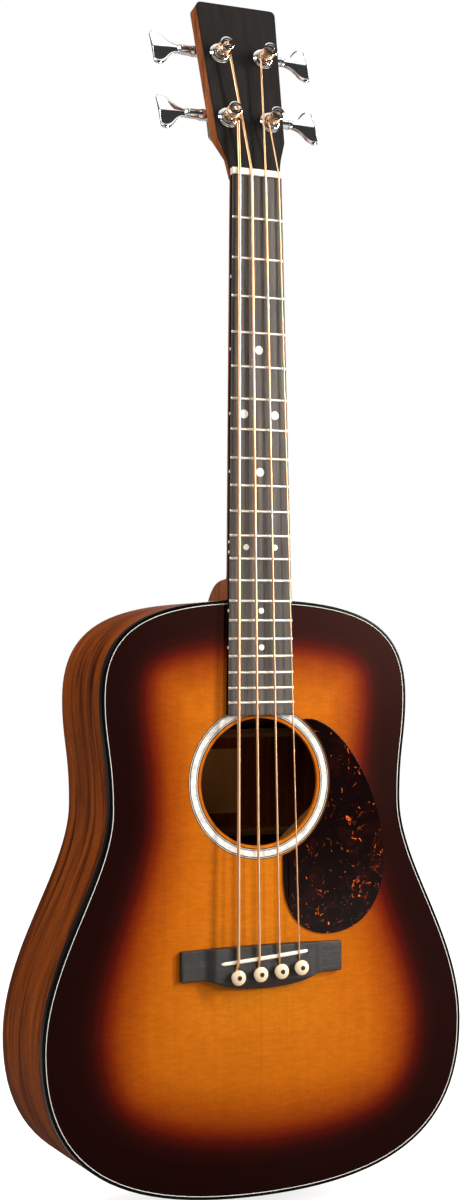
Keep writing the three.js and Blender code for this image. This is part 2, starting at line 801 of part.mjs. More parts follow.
function addBridge() {
  const plan = new THREE.Shape();
  plan.moveTo(-bridge.half, bridge.wingUpper);
  plan.quadraticCurveTo(0, 2 * bridge.crownUpper - bridge.wingUpper, bridge.half, bridge.wingUpper);
  plan.lineTo(bridge.half, bridge.wingLower);
  plan.lineTo(bridge.bellyEnd, bridge.wingLower);
  const { bellyTurn, bellyLower, wingLower } = bridge;
  plan.bezierCurveTo(bellyTurn, wingLower, bellyTurn, bellyLower, 0, bellyLower);
  plan.bezierCurveTo(-bellyTurn, bellyLower, -bellyTurn, wingLower, -bridge.bellyEnd, wingLower);
  plan.lineTo(-bridge.half, bridge.wingLower);
  const front = new THREE.Shape();
  front.moveTo(-bridge.half - overrun, gap);
  front.lineTo(bridge.half + overrun, gap);
  front.lineTo(bridge.half + overrun, bridge.wingEnd);
  front.lineTo(bridge.scoopOuter, bridge.wingRoot);
  const { wingRoot, shoulder, scoopOuter, scoopInner } = bridge;
  const scoop = (scoopOuter + scoopInner) / 2;
  front.bezierCurveTo(scoop, wingRoot, scoop, shoulder, scoopInner, shoulder);
  front.quadraticCurveTo(0, 2 * bridge.crown - shoulder, -scoopInner, shoulder);
  front.bezierCurveTo(-scoop, shoulder, -scoop, wingRoot, -scoopOuter, wingRoot);
  front.lineTo(-bridge.half - overrun, bridge.wingEnd);
  const depth = bridge.crownUpper - bridge.bellyLower + 2 * overrun;
  const settings = { bevelEnabled: false, curveSegments: bridge.curveSegments };
  const planSolid = solid(new THREE.ExtrudeGeometry(plan, { ...settings, depth: bridge.crown * 2 }));
  const frontSolid = solid(
    new THREE.ExtrudeGeometry(front, { ...settings, depth })
      .rotateX(Math.PI / 2)
      .translate(0, bridge.crownUpper + overrun, 0),
  );

  const skew = Math.atan2(saddle.trebleLine - saddle.bassLine, 2 * saddle.half);
  const saddleMatrix = new THREE.Matrix4()
    .makeTranslation(0, mix(saddle.bassLine, saddle.trebleLine, 0.5), 0)
    .multiply(new THREE.Matrix4().makeRotationZ(skew));
  const reach = saddle.half / Math.cos(skew);
  const slot = block(
    [-reach - gap, reach + gap],
    [-saddle.width / 2 - gap, saddle.width / 2 + gap],
    [saddle.floor - gap, bridge.crown + overrun],
  );
  const cutters = [solid(slot, saddleMatrix), ...pinHoles, ...passageSolids];
  piece(guitar, 'bridge', cut(planSolid.intersect(frontSolid), cutters), finishes.blackWood);

  const crown = new THREE.Shape();
  crown.moveTo(-reach, saddle.floor);
  crown.lineTo(reach, saddle.floor);
  crown.lineTo(reach, saddleCrest(saddle.half));
  crown.quadraticCurveTo(0, 2 * saddle.crest - saddleCrest(saddle.half), -reach, saddleCrest(saddle.half));
  const bar = new THREE.ExtrudeGeometry(crown, { ...settings, depth: saddle.width })
    .translate(0, 0, -saddle.width / 2)
    .rotateX(Math.PI / 2)
    .applyMatrix4(saddleMatrix);
  piece(guitar, 'saddle', cut(solid(bar), passageSolids), finishes.ivory);

  const seat = bridge.crown + gap;
  const pinProfile = [
    [0, -pin.depth],
    [pin.tip, -pin.depth],
    [pin.shank, seat],
    [pin.collar, seat],
    ...pinDomeShares.map(({ across, up }) => [pin.head * across, seat + pin.collarHeight + pin.dome * up]),
  ];
  strings.forEach((string, i) => {
    const blank = solid(revolved(pinProfile, boreSides).translate(string.pinX, string.pinLine, 0));
    piece(guitar, `bridge_pin_${string.name}`, blank.subtract(passageSolids[i]), finishes.ivory);
  });
}

function addGuard() {
  const { inner, shoulderX, shoulderLine, outerX, outerUpper, bellyLine, innerX, innerLine } = guard;
  const rise = (x) => Math.sqrt(inner ** 2 - x ** 2);
  const tip = vec2(guard.tipX, rise(guard.tipX));
  const foot = vec2(innerX, -rise(innerX));
  const outline = new THREE.Shape();
  outline.moveTo(tip.x, soundhole.line + tip.y);
  outline.bezierCurveTo(shoulderX, shoulderLine, outerX, outerUpper, outerX, guard.outerLine);
  outline.bezierCurveTo(outerX, guard.outerLower, guard.bellyOuterX, bellyLine, guard.bellyX, bellyLine);
  outline.bezierCurveTo(guard.bellyInnerX, bellyLine, innerX, guard.innerLower, innerX, innerLine);
  outline.lineTo(foot.x, soundhole.line + foot.y);
  outline.absarc(0, soundhole.line, inner, foot.angle() - 2 * Math.PI, tip.angle(), false);
  const settings = { depth: guard.thickness, bevelEnabled: false, curveSegments: guard.segments };
  const plate = new THREE.ExtrudeGeometry(outline, settings).translate(0, 0, gap);
  piece(guitar, 'pickguard', plate, finishes.tortoise);
}

function addEndPin() {
  const base = body.tail - gap;
  const profile = [
    [0, base + endPin.length],
    [endPin.tip, base + endPin.length],
    [endPin.shank, base],
    [endPin.flange, base],
    [endPin.flange, base - endPin.flangeWidth],
    [endPin.neck, base - endPin.neckEnd],
    [endPin.head, base - endPin.headStart],
    [endPin.crown, base - endPin.headEnd],
    [endPin.face, base - endPin.headEnd - endPin.chamfer],
    [0, base - endPin.headEnd - endPin.chamfer],
  ];
  const shape = revolved(profile, boreSides).rotateX(-Math.PI / 2).translate(0, 0, -endPin.depth);
  piece(guitar, 'end_pin', shape, finishes.black);
}

// Neck, fingerboard, nut and truss rod, in the neck's own frame

// One section of the neck: flat on top, a full curve below, and narrowing towards the heel's cap.
function neckSection(line, half, depth) {
  const deep = (depth - neck.nutDepth) / (neck.heelDepth - neck.nutDepth);
  const power = 2 / mix(sectionPowers.shaft, sectionPowers.heel, Math.sqrt(Math.max(deep, 0)));
  return Array.from({ length: neck.segments + 1 }, (_, i) => {
    const turn = (i / neck.segments) * Math.PI;
    const down = depth * Math.max(Math.sin(turn), 0) ** power;
    const narrowing = mix(half, neck.capHalf, Math.min(down / neck.heelDepth, 1));
    const cosine = i === neck.segments / 2 ? 0 : Math.cos(turn);
    return vec3(narrowing * Math.sign(cosine) * Math.abs(cosine) ** power, line, -gap - down);
  });
}

function headOutline(start) {
  const side = new THREE.Path();
  side.moveTo(head.nutHalf, start);
  const { flareHalf, flareUp, kneeHalf, kneeUp, cheekHalf, cheekUp } = head;
  side.bezierCurveTo(flareHalf, flareUp, kneeHalf, kneeUp, cheekHalf, cheekUp);
  side.lineTo(head.topHalf, head.topUp - head.corner);
  side.quadraticCurveTo(head.topHalf, head.topUp, head.topHalf - head.corner, head.topUp);
  const right = side.getPoints(head.curveSteps);
  return [...right, ...right.map((point) => vec2(-point.x, point.y)).reverse()];
}

// What is carved off one lower corner of the headstock so that it flows into the rounded neck.
function throatCutter(side) {
  const outside = head.topHalf + overrun;
  const below = -head.thickness - 2 * overrun;
  const rings = throat.map(({ up, centreX, acrossRadius, top, depthRadius }) => {
    const arc = Array.from({ length: throatSteps + 1 }, (_, i) => {
      const turn = (i / throatSteps) * Math.PI / 2;
      return [centreX + acrossRadius * Math.cos(turn), -top - depthRadius * Math.sin(turn)];
    });
    const corners = [[outside, -top], ...arc, [centreX, below], [outside, below]];
    return corners.map(([x, height]) => vec3(side * x, up, height));
  });
  return loft(rings);
}

function addNeck() {
  const neckGroup = new THREE.Group();
  neckGroup.applyMatrix4(neckMatrix);
  guitar.add(neckGroup);

  const sections = [neckSection(-neck.overlap, boardHalf(-neck.overlap), neck.heelDepth)];
  const filletTop = neck.shaftDepth + neck.fillet;
  const filletEnd = neck.heelReach + neck.fillet;
  for (let i = 0; i <= neck.heelSteps; i++) {
    const share = 1 - i / neck.heelSteps;
    const line = mix(neck.heelReach, neck.capLength, share ** heelPowers.spacing);
    const depth = mix(filletTop, neck.heelDepth, share ** heelPowers.fall);
    sections.push(neckSection(line, boardHalf(line), depth));
  }
  for (let i = 1; i <= neck.filletSteps; i++) {
    const turn = (i / neck.filletSteps) * Math.PI / 2;
    const line = filletEnd - neck.fillet * Math.cos(turn);
    sections.push(neckSection(line, boardHalf(line), filletTop - neck.fillet * Math.sin(turn)));
  }
  for (let i = 1; i <= neck.shaftSteps; i++) {
    const share = i / neck.shaftSteps;
    const line = mix(filletEnd, nutFace, share);
    sections.push(neckSection(line, boardHalf(line), mix(neck.shaftDepth, neck.nutDepth, share)));
  }
  const wrist = nutFace + head.flareUp + head.start;
  sections.push(neckSection(wrist, head.nutHalf, neck.nutDepth + head.start / 2));
  const bodyCutter = solid(extruded(wholeOutline(-gap), deepest, overrun), drawingInNeck);
  const shaft = solid(loft(sections)).subtract(bodyCutter);

  const slab = solid(extruded(headOutline(-head.start), -head.thickness, -head.veneer - gap), headMatrix);
  const aboveHead = solid(
    block(
      [-head.topHalf - overrun, head.topHalf + overrun],
      [head.edge - gap, head.topUp + overrun],
      [-head.veneer - gap, head.topUp],
    ),
    headMatrix,
  );
  const tongue = solid(
    block([-tenon.half, tenon.half], [-tenon.length, tenon.root], [-tenon.bottom, -tenon.top]),
  );
  const channel = solid(
    block(
      [-trussRod.width / 2 - gap, trussRod.width / 2 + gap],
      [trussRod.start - gap, nutFace - trussRod.endShort + gap],
      [-trussRod.bottom - gap, overrun],
    ),
  );
  const nutBoreRadius = trussRod.nutRadius + gap;
  const nutBore = solid(
    new THREE.CylinderGeometry(nutBoreRadius, nutBoreRadius, 2 * tenon.length, boreSides)
      .translate(0, trussRod.start + overrun - tenon.length, -trussRod.nutLine),
  );
  const pegHoles = strings.map((string) => {
    const { x, y } = pegOf(string);
    return solid(discAt(x, y, tuner.hole, -head.thickness - overrun, overrun, boreSides), headMatrix);
  });
  const throatCuts = [-1, 1].map((side) => solid(throatCutter(side), headMatrix));
  const blank = shaft.add(cut(slab, throatCuts)).subtract(aboveHead).add(tongue);
  piece(neckGroup, 'neck', cut(blank, [channel, nutBore, ...pegHoles]), finishes.mahogany);

  const rod = solid(
    block(
      [-trussRod.width / 2, trussRod.width / 2],
      [trussRod.start, nutFace - trussRod.endShort],
      [-trussRod.bottom, -trussRod.top],
    ),
  );
  const endLength = tenon.length + trussRod.nutLength;
  const rodEnd = solid(
    new THREE.CylinderGeometry(trussRod.nutRadius, trussRod.nutRadius, endLength, boreSides)
      .translate(0, trussRod.start + gap - endLength / 2, -trussRod.nutLine),
  );
  piece(neckGroup, 'truss_rod', rod.add(rodEnd), finishes.steel);

  addFingerboard(neckGroup);
  addNut(neckGroup);
  addHead(neckGroup);
}

function addFingerboard(neckGroup) {
  const tail = board.end - body.shoulder;
  const acrossBoard = (line, half, drop) =>
    Array.from({ length: board.segments + 1 }, (_, i) => {
      const x = mix(-half, half, i / board.segments);
      return vec3(x, line, boardTop(x) - drop);
    });
  const ring = (line) => {
    const half = boardHalf(line);
    return [...acrossBoard(line, half, 0), vec3(half, line, 0), vec3(-half, line, 0)];
  };
  let shape = solid(loft([ring(tail), ring(nutFace)]));
  for (let number = 1; number <= fretCount; number++) {
    const line = fretLine(number) - body.shoulder;
    const half = boardHalf(line) - fret.inset;
    const crossing = Array.from({ length: board.segments + 1 }, (_, i) => {
      const x = mix(-half, half, i / board.segments);
      const base = boardTop(x) - fret.root;
      const crest = boardTop(x) + fret.height;
      return [
        vec3(x, line - fret.foot, base),
        vec3(x, line - fret.crown, crest),
        vec3(x, line + fret.crown, crest),
        vec3(x, line + fret.foot, base),
      ];
    });
    shape = shape.add(solid(loft(crossing)));
  }
  piece(neckGroup, 'fingerboard', shape, finishes.blackWood);
}

function addNut(neckGroup) {
  const front = new THREE.Shape();
  const side = boardTop(board.nutHalf) + nut.crest - board.thickness;
  front.moveTo(-board.nutHalf, 0);
  front.lineTo(board.nutHalf, 0);
  front.lineTo(board.nutHalf, side);
  front.quadraticCurveTo(0, 2 * nut.crest - side, -board.nutHalf, side);
  const settings = { depth: nut.thickness, bevelEnabled: false, curveSegments: board.segments };
  const bar = new THREE.ExtrudeGeometry(front, settings)
    .rotateX(Math.PI / 2)
    .translate(0, nutFace + gap + nut.thickness, 0);
  const grooves = stringPassages.map((geometry) => solid(geometry, drawingInNeck));
  piece(neckGroup, 'nut', cut(solid(bar), grooves), finishes.ivory);
}

// Headstock veneer and tuners, in the headstock's own frame

function addHead(neckGroup) {
  const headGroup = new THREE.Group();
  headGroup.applyMatrix4(headMatrix);
  neckGroup.add(headGroup);
  const holes = strings.map((string) => {
    const peg = pegOf(string);
    return circle(tuner.hole, boreSides, peg.x, peg.y);
  });
  const veneer = extruded(headOutline(head.edge), -head.veneer, 0, holes);
  piece(headGroup, 'head_veneer', veneer, finishes.blackWood);
  strings.forEach((string) => addTuner(headGroup, string));
}

function addTuner(headGroup, string) {
  const meeting = postMeeting(string);
  const { peg } = meeting;
  const unit = new THREE.Group();
  unit.position.set(peg.x, peg.y, 0);
  headGroup.add(unit);

  const bore = post.shaft + gap;
  const bushingProfile = [
    [bore, -bushing.sleeveDepth],
    [bushing.sleeve, -bushing.sleeveDepth],
    [bushing.sleeve, gap],
    [bushing.washer, gap],
    [bushing.washer, bushing.washerTop],
    [bushing.nut, bushing.washerTop + bushing.chamfer],
    [bushing.nut, bushing.nutTop - bushing.chamfer],
    [bushing.nut - bushing.chamfer, bushing.nutTop],
    [bore, bushing.nutTop],
    [bore, -bushing.sleeveDepth],
  ];
  piece(unit, `tuner_bushing_${string.name}`, revolved(bushingProfile, boreSides), finishes.chrome);

  const route = windingRoute(string, meeting);
  const postProfile = [
    [0, -post.foot],
    [post.shaft, -post.foot],
    [post.shaft, post.waistFrom - post.chamfer],
    [post.waist, post.waistFrom],
    [post.waist, post.waistTo],
    [post.cap, post.capFrom],
    [post.cap, post.top - post.chamfer],
    [post.cap - post.chamfer, post.top],
    [0, post.top],
  ];
  const reach = post.cap + overrun;
  const slot = solid(
    block([-reach, reach], [-postSlot.half, postSlot.half], [postSlot.floor, post.top + overrun])
      .rotateZ(route.slotTurn),
  );
  const shape = solid(revolved(postProfile, boreSides)).subtract(slot);
  piece(unit, `tuner_post_${string.name}`, shape, finishes.chrome);
  const turns = tube(route.stations, string.radius, winding.sides);
  piece(unit, `string_turns_${string.name}`, turns, finishes.bronze);
  reportLeastGap(string.name, route.stations, string.radius);

  addHousing(unit, string, peg);
  addKey(unit, string, peg);
}

// The turns of a string on its post: they start where the span meets the post, climb, and end in the slot.
function windingRoute(string, { from, peg, touch, reach, inner, turn }) {
  const pitch = 2 * string.radius + winding.spacing;
  const bend = string.radius + gap;
  const steps = Math.round(string.turns * winding.steps);
  const at = (angle, radius, height) => vec3(radius * Math.cos(angle), radius * Math.sin(angle), height);
  const local = (point) => vec3(point.x - peg.x, point.y - peg.y, point.z);
  const back = from.clone().sub(touch).setLength(2 * string.radius);
  const stations = [local(touch.clone().add(back))];
  for (let i = 0; i <= steps; i++) {
    const share = i / winding.steps;
    stations.push(at(turn + inner * share * 2 * Math.PI, reach, winding.start + share * pitch));
  }
  const endHeight = winding.start + string.turns * pitch;
  const slotTurn = turn + inner * (string.turns * 2 * Math.PI + Math.asin(bend / reach));
  const corner = at(slotTurn, reach, endHeight);
  const entry = at(slotTurn, reach - bend, endHeight);
  const curve = new THREE.QuadraticBezierCurve3(stations[stations.length - 1], corner, entry);
  stations.push(...curve.getPoints(winding.bendSteps).slice(1), at(slotTurn, winding.tailEnd, endHeight));
  return { stations, slotTurn };
}

function reportLeastGap(name, stations, radius) {
  const apart = winding.steps / 2;
  let least = Infinity;
  for (let i = 0; i < stations.length; i++) {
    for (let j = i + apart; j < stations.length; j++) {
      least = Math.min(least, stations[i].distanceTo(stations[j]) - 2 * radius);
    }
  }
  console.log(`least gap of the turns of string ${name} to themselves: ${least.toFixed(2)} mm`);
}

function addHousing(unit, string, peg) {
  const { half, below, above, corner, depth, chamfer } = housing;
  const seat = -head.thickness - gap;
  const outline = new THREE.Shape();
  outline.moveTo(-half + corner, -below);
  outline.lineTo(half - corner, -below);
  outline.absarc(half - corner, -below + corner, corner, -Math.PI / 2, 0, false);
  outline.absarc(half - corner, above - corner, corner, 0, Math.PI / 2, false);
  outline.absarc(-half + corner, above - corner, corner, Math.PI / 2, Math.PI, false);
  outline.absarc(-half + corner, -below + corner, corner, Math.PI, Math.PI * 1.5, false);
  const settings = {
    depth: depth - 2 * chamfer,
    bevelSize: chamfer,
    bevelThickness: chamfer,
    bevelOffset: -chamfer,
    bevelSegments: 1,
    curveSegments: 2,
  };
  const pot = solid(new THREE.ExtrudeGeometry(outline, settings).translate(0, 0, seat - depth + chamfer));
  const reach = housing.reach - Math.abs(peg.x);
  const along = (radiusIn, radiusOut, from, to) =>
    new THREE.CylinderGeometry(radiusOut, radiusIn, to - from, boreSides)
      .rotateZ(-Math.PI / 2)
      .translate((from + to) / 2, tuner.keyUp, -tuner.keyDepth);
  const keyRadius = key.shaft + gap;
  const nose = solid(onSide(along(housing.root, housing.nose, 0, reach), string.side));
  const keyBore = solid(onSide(along(keyRadius, keyRadius, -key.start - gap, reach + overrun), string.side));
  const postBore = solid(discAt(0, 0, post.shaft + gap, -post.foot - gap, seat + overrun, boreSides));
  piece(unit, `tuner_housing_${string.name}`, cut(pot.add(nose), [keyBore, postBore]), finishes.chrome);
}

// Mirrors a body that is drawn for the treble side when it belongs to the bass side.
function onSide(geometry, side) {
  if (side > 0) return geometry;
  return facingOut(weld(geometry).scale(-1, 1, 1));
}

function addKey(unit, string, peg) {
  const collarFrom = housing.reach - Math.abs(peg.x) + gap;
  const collarTo = collarFrom + key.collarWidth;
  const along = (radius, from, to) =>
    new THREE.CylinderGeometry(radius, radius, to - from, boreSides)
      .rotateZ(-Math.PI / 2)
      .translate((from + to) / 2, 0, 0);
  const shaft = along(key.shaft, -key.start, collarTo);
  const collar = along(key.collar, collarFrom, collarTo);
  const fold = Math.tan(degrees(button.fold));
  const rings = buttonShares.map((shares) => {
    const x = collarTo - gap + shares.along * button.length;
    const half = shares.across * button.half;
    const lobe = (sign) => [
      [sign * half, -fold * half + button.rim],
      [sign * (half + button.lip), -fold * half],
      [sign * half, -fold * half - button.rim],
    ];
    const [frontRight, tipRight, backRight] = lobe(1);
    const [frontLeft, tipLeft, backLeft] = lobe(-1);
    const { ridge } = button;
    const section = [[0, ridge], frontRight, tipRight, backRight, [0, -ridge], backLeft, tipLeft, frontLeft];
    return section.map(([across, height]) => vec3(x, across, height));
  });
  const placed = new THREE.Matrix4()
    .makeTranslation(0, tuner.keyUp, -tuner.keyDepth)
    .multiply(new THREE.Matrix4().makeRotationX(degrees(-key.lean)));
  const parts = [shaft, collar, loft(rings)].map((geometry) =>
    solid(onSide(weld(geometry), string.side), placed));
  piece(unit, `tuner_key_${string.name}`, parts[0].add(parts[1]).add(parts[2]), finishes.chrome);
}

// Strings: from the ball under the bridge plate over saddle and nut to the turns on the post

function addStrings() {
  strings.forEach((string, i) => {
    const swept = Math.hypot(windRadius(string) + string.radius, 2 * string.radius) + gap;
    const peg = pegOf(string);
    const clearing = solid(discAt(peg.x, peg.y, swept, 0, post.top, boreSides), headInDrawing);
    const anchor = solid(
      new THREE.CylinderGeometry(ball.radius, ball.radius, ball.half * 2, stringSides)
        .rotateZ(Math.PI / 2)
        .translate(string.pinX, string.pinLine + pin.hole + ball.shift, -ball.depth),
    );
    const shape = solid(stringTubes[i]).subtract(clearing).add(anchor);
    piece(guitar, `string_${string.name}`, shape, finishes.bronze);
  });
}

addTop();
addRim();
addBraces();
addBridge();
addGuard();
addEndPin();
addNeck();
addStrings();

// Stand the guitar up, with its origin where the hanger holds it.

const upright = new THREE.Group();
guitar.position.set(0, -hanger.line, hanger.depth);
upright.rotation.x = Math.PI / 2;
upright.add(guitar);
const part = new THREE.Group();
part.add(upright);

export default part;
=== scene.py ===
"""Short-scale acoustic bass guitar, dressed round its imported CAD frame.

Shapes are drawn in millimetres in three frames: the body's (x to the treble side, y up the neck, z out of the
soundboard), the neck's, which is set back a little, and the headstock's, which is tilted. Each is turned into
the part's own frame, in metres, which has its z up.
"""
import logging
import math
from dataclasses import dataclass, field
from enum import Enum
from typing import Callable, Iterable, Optional, Sequence

import bmesh
import bpy
import numpy as np
from mathutils import Matrix, Vector


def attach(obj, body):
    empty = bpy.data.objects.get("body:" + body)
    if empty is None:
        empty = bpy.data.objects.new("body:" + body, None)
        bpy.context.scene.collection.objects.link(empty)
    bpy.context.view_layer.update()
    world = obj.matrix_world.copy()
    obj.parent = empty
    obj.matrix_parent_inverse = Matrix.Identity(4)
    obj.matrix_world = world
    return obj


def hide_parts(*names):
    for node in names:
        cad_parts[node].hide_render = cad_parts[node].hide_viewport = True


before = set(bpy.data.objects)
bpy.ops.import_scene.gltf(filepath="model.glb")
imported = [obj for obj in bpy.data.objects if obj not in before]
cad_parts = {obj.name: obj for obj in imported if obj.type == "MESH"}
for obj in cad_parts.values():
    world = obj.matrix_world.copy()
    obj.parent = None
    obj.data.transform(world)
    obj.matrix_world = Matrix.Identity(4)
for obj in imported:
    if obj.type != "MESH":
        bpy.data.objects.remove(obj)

log = logging.getLogger("bass_guitar")
Socket = bpy.types.NodeSocket
Piece = bpy.types.Object
Point = Sequence[float]
Ring = Sequence[Point]
Colour = tuple[float, float, float]
Stops = Sequence[tuple[float, Colour]]
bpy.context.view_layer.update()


# Frames and measures that several units share

METRE = 1000.0
MM = 0.001
BODY_DROP = 624.0
FACE_FORWARD = 9.0
SCALE_LENGTH = 609.6
SHOULDER = 272.85
NECK_LIFT = 0.3
NECK_SET_BACK = math.radians(0.22)
NUT_FACE = SCALE_LENGTH - SHOULDER
HEAD_START = 3.4
HEAD_RISE = 1.0
HEAD_TILT = math.radians(14.3)
BODY = Matrix(((MM, 0, 0, 0), (0, 0, -MM, -MM * FACE_FORWARD), (0, MM, 0, -MM * BODY_DROP), (0, 0, 0, 1)))
NECK = BODY @ Matrix.Translation((0, SHOULDER, NECK_LIFT)) @ Matrix.Rotation(-NECK_SET_BACK, 4, "X")
HEAD_PLACE = Matrix.Translation((0, NUT_FACE + HEAD_START, HEAD_RISE))
HEAD_TURN = Matrix.Rotation(-HEAD_TILT, 4, "X")
HEAD = NECK @ HEAD_PLACE @ HEAD_TURN
CROWN_RADIUS = 406.0
BOARD_THICKNESS = 4.8
NUT_HALF = 21.45
BOARD_FLARE = 0.01628
STRING_OVER_NUT = 1.3
POST_WAIST = 3.9
FIRST_TURN = 6.9
CLEAR = 0.3
QUARTER = math.pi / 2
SIDES = {"bass": -1, "treble": 1}
STRING_NAMES = ("e", "a", "d", "g")


def crown_fall(x: float) -> float:
    """How far the crowned board, and what follows its curve, falls off at x."""
    return x * x / (2 * CROWN_RADIUS)


def mix(low: float, high: float, share: float) -> float:
    """Value a share of the way from low to high."""
    return low + (high - low) * share


def steps(low: float, high: float, count: int) -> list[float]:
    """Evenly spaced values from low to high, both included."""
    return [mix(low, high, i / count) for i in range(count + 1)]


def eased(share: float) -> float:
    """Share that starts and ends gently, for numbers and arrays alike."""
    return share * share * (3 - 2 * share)


def bezier(a: Point, b: Point, c: Point, d: Point, share: float) -> Vector:
    """Point of a cubic curve.

    Args:
        a: Start.
        b: First handle.
        c: Second handle.
        d: End.
        share: How far along, from 0 to 1.

    Returns:
        The point, with as many numbers as the ends have.
    """
    rest = 1 - share
    weights = (rest ** 3, 3 * rest * rest * share, 3 * rest * share * share, share ** 3)
    return Vector([sum(w * p[k] for w, p in zip(weights, (a, b, c, d))) for k in range(len(a))])


def linear(red: int, green: int, blue: int) -> Colour:
    """Linear colour of a screen colour given in 0 to 255."""
    def one(value: int) -> float:
        """Linear value of one channel."""
        v = value / 255
        return v / 12.92 if v <= 0.04045 else ((v + 0.055) / 1.055) ** 2.4
    return one(red), one(green), one(blue)


# Meshes

@dataclass
class Shell:
    """Points and faces of a mesh that is being drawn, in the millimetres of one frame."""

    points: list[Vector] = field(default_factory=list)
    faces: list[tuple[int, ...]] = field(default_factory=list)

    def moved(self, matrix: Matrix) -> "Shell":
        """The same shell with its points moved by a matrix."""
        return Shell([matrix @ p for p in self.points], list(self.faces))


def loft(rings: Sequence[Ring], closed: bool = False) -> Shell:
    """Skins rings of points that have the same count.

    Args:
        rings: The rings in order.
        closed: Whether the last ring joins the first.

    Returns:
        The skin, as quads, with its ends filled where it isn't closed.
    """
    count = len(rings[0])
    shell = Shell([Vector(p) for ring in rings for p in ring])
    spans = len(rings) if closed else len(rings) - 1
    for i in range(spans):
        near, far = i * count, (i + 1) % len(rings) * count
        for j in range(count):
            k = (j + 1) % count
            shell.faces.append((near + j, near + k, far + k, far + j))
    if not closed:
        last = (len(rings) - 1) * count
        shell.faces.append(tuple(reversed(range(count))))
        shell.faces.append(tuple(range(last, last + count)))
    return shell


def circle(radius: float, segments: int, x: float = 0.0, y: float = 0.0) -> list[Vector]:
    """Points of a circle in the plane, anticlockwise."""
    turns = (2 * math.pi * i / segments for i in range(segments))
    return [Vector((x + radius * math.cos(t), y + radius * math.sin(t))) for t in turns]


def revolved(profile: Sequence[Point], segments: int = 32) -> Shell:
    """Body of revolution about z.

    Args:
        profile: Radius and height of each station. A radius of 0 at an end closes it in a small cap.
        segments: How many sides it has.

    Returns:
        The closed body, or a ring where the profile ends where it starts.
    """
    smallest = 0.02
    ring_shaped = tuple(profile[0]) == tuple(profile[-1])
    stations = profile[:-1] if ring_shaped else profile
    rings = [[(*p, height) for p in circle(max(radius, smallest), segments)]
             for radius, height in stations]
    return loft(rings, closed=ring_shaped)


def prism(outline: Sequence[Point], low: float, high: float, round_over: float = 0.0, arcs: int = 3) -> Shell:
    """Plate of an outline, with its edges rounded over at the top and bottom.

    Args:
        outline: Points of the edge, anticlockwise, in the plane.
        low: Height of the lower face.
        high: Height of the upper face.
        round_over: Radius of the rounded edges.
        arcs: How many facets each rounded edge has.

    Returns:
        The closed plate.
    """
    count = len(outline)
    sharpest = 0.4
    normals = []
    for i, here in enumerate(outline):
        before, after = outline[i - 1], outline[(i + 1) % count]
        one = Vector((here[1] - before[1], before[0] - here[0])).normalized()
        two = Vector((after[1] - here[1], here[0] - after[0])).normalized()
        both = (one + two).normalized()
        normals.append(both / max(both.dot(one), sharpest))
    layers = [(0.0, low), (0.0, high)]
    if round_over:
        layers = [(round_over * (1 - math.sin(t)), low + round_over * (1 - math.cos(t)))
                  for t in (QUARTER * i / arcs for i in range(arcs + 1))]
        layers += [(inset, high + low - height) for inset, height in reversed(layers)]
    return loft([[Vector((p[0] - n.x * inset, p[1] - n.y * inset, height)) for p, n in zip(outline, normals)]
                 for inset, height in layers])


def box(xs: Point, ys: Point, zs: Point) -> Shell:
    """Plain block between three pairs of planes, used as a cutter."""
    outline = [(xs[0], ys[0]), (xs[1], ys[0]), (xs[1], ys[1]), (xs[0], ys[1])]
    return prism(outline, zs[0], zs[1])


def swept(route: Sequence[Vector], radii: Sequence[float], sides: int = 14) -> tuple[Shell, list[float]]:
    """Round tube along a route.

    Args:
        route: Its stations in order.
        radii: Radius of the tube at each station.
        sides: How many sides it has.

    Returns:
        The tube, and how far along the route each of its points lies.
    """
    normal = Vector((0.3, 0.2, 0.9))
    rings, travel, total = [], [], 0.0
    for i, here in enumerate(route):
        before, after = route[max(i - 1, 0)], route[min(i + 1, len(route) - 1)]
        along = (after - before).normalized()
        normal = (normal - along * normal.dot(along)).normalized()
        other = along.cross(normal)
        total += (here - before).length
        rings.append([here + (normal * p.x + other * p.y) for p in circle(radii[i], sides)])
        travel += [total] * sides
    return loft(rings), travel


def rounded(corners: Sequence[Vector], bend: float, count: int) -> list[Vector]:
    """Route through corners, each turned into a short curve.

    Args:
        corners: The corners in order.
        bend: How far from a corner its curve starts.
        count: How many steps the curve has.

    Returns:
        The stations of the route.
    """
    stations = [corners[0]]
    for before, here, after in zip(corners, corners[1:], corners[2:]):
        reach = min(bend, (here - before).length / 2, (after - here).length / 2)
        start = here + (before - here).normalized() * reach
        end = here + (after - here).normalized() * reach
        for share in steps(0, 1, count):
            stations.append(start.lerp(here, share).lerp(here.lerp(end, share), share))
    stations.append(corners[-1])
    return stations


# Shader nodes

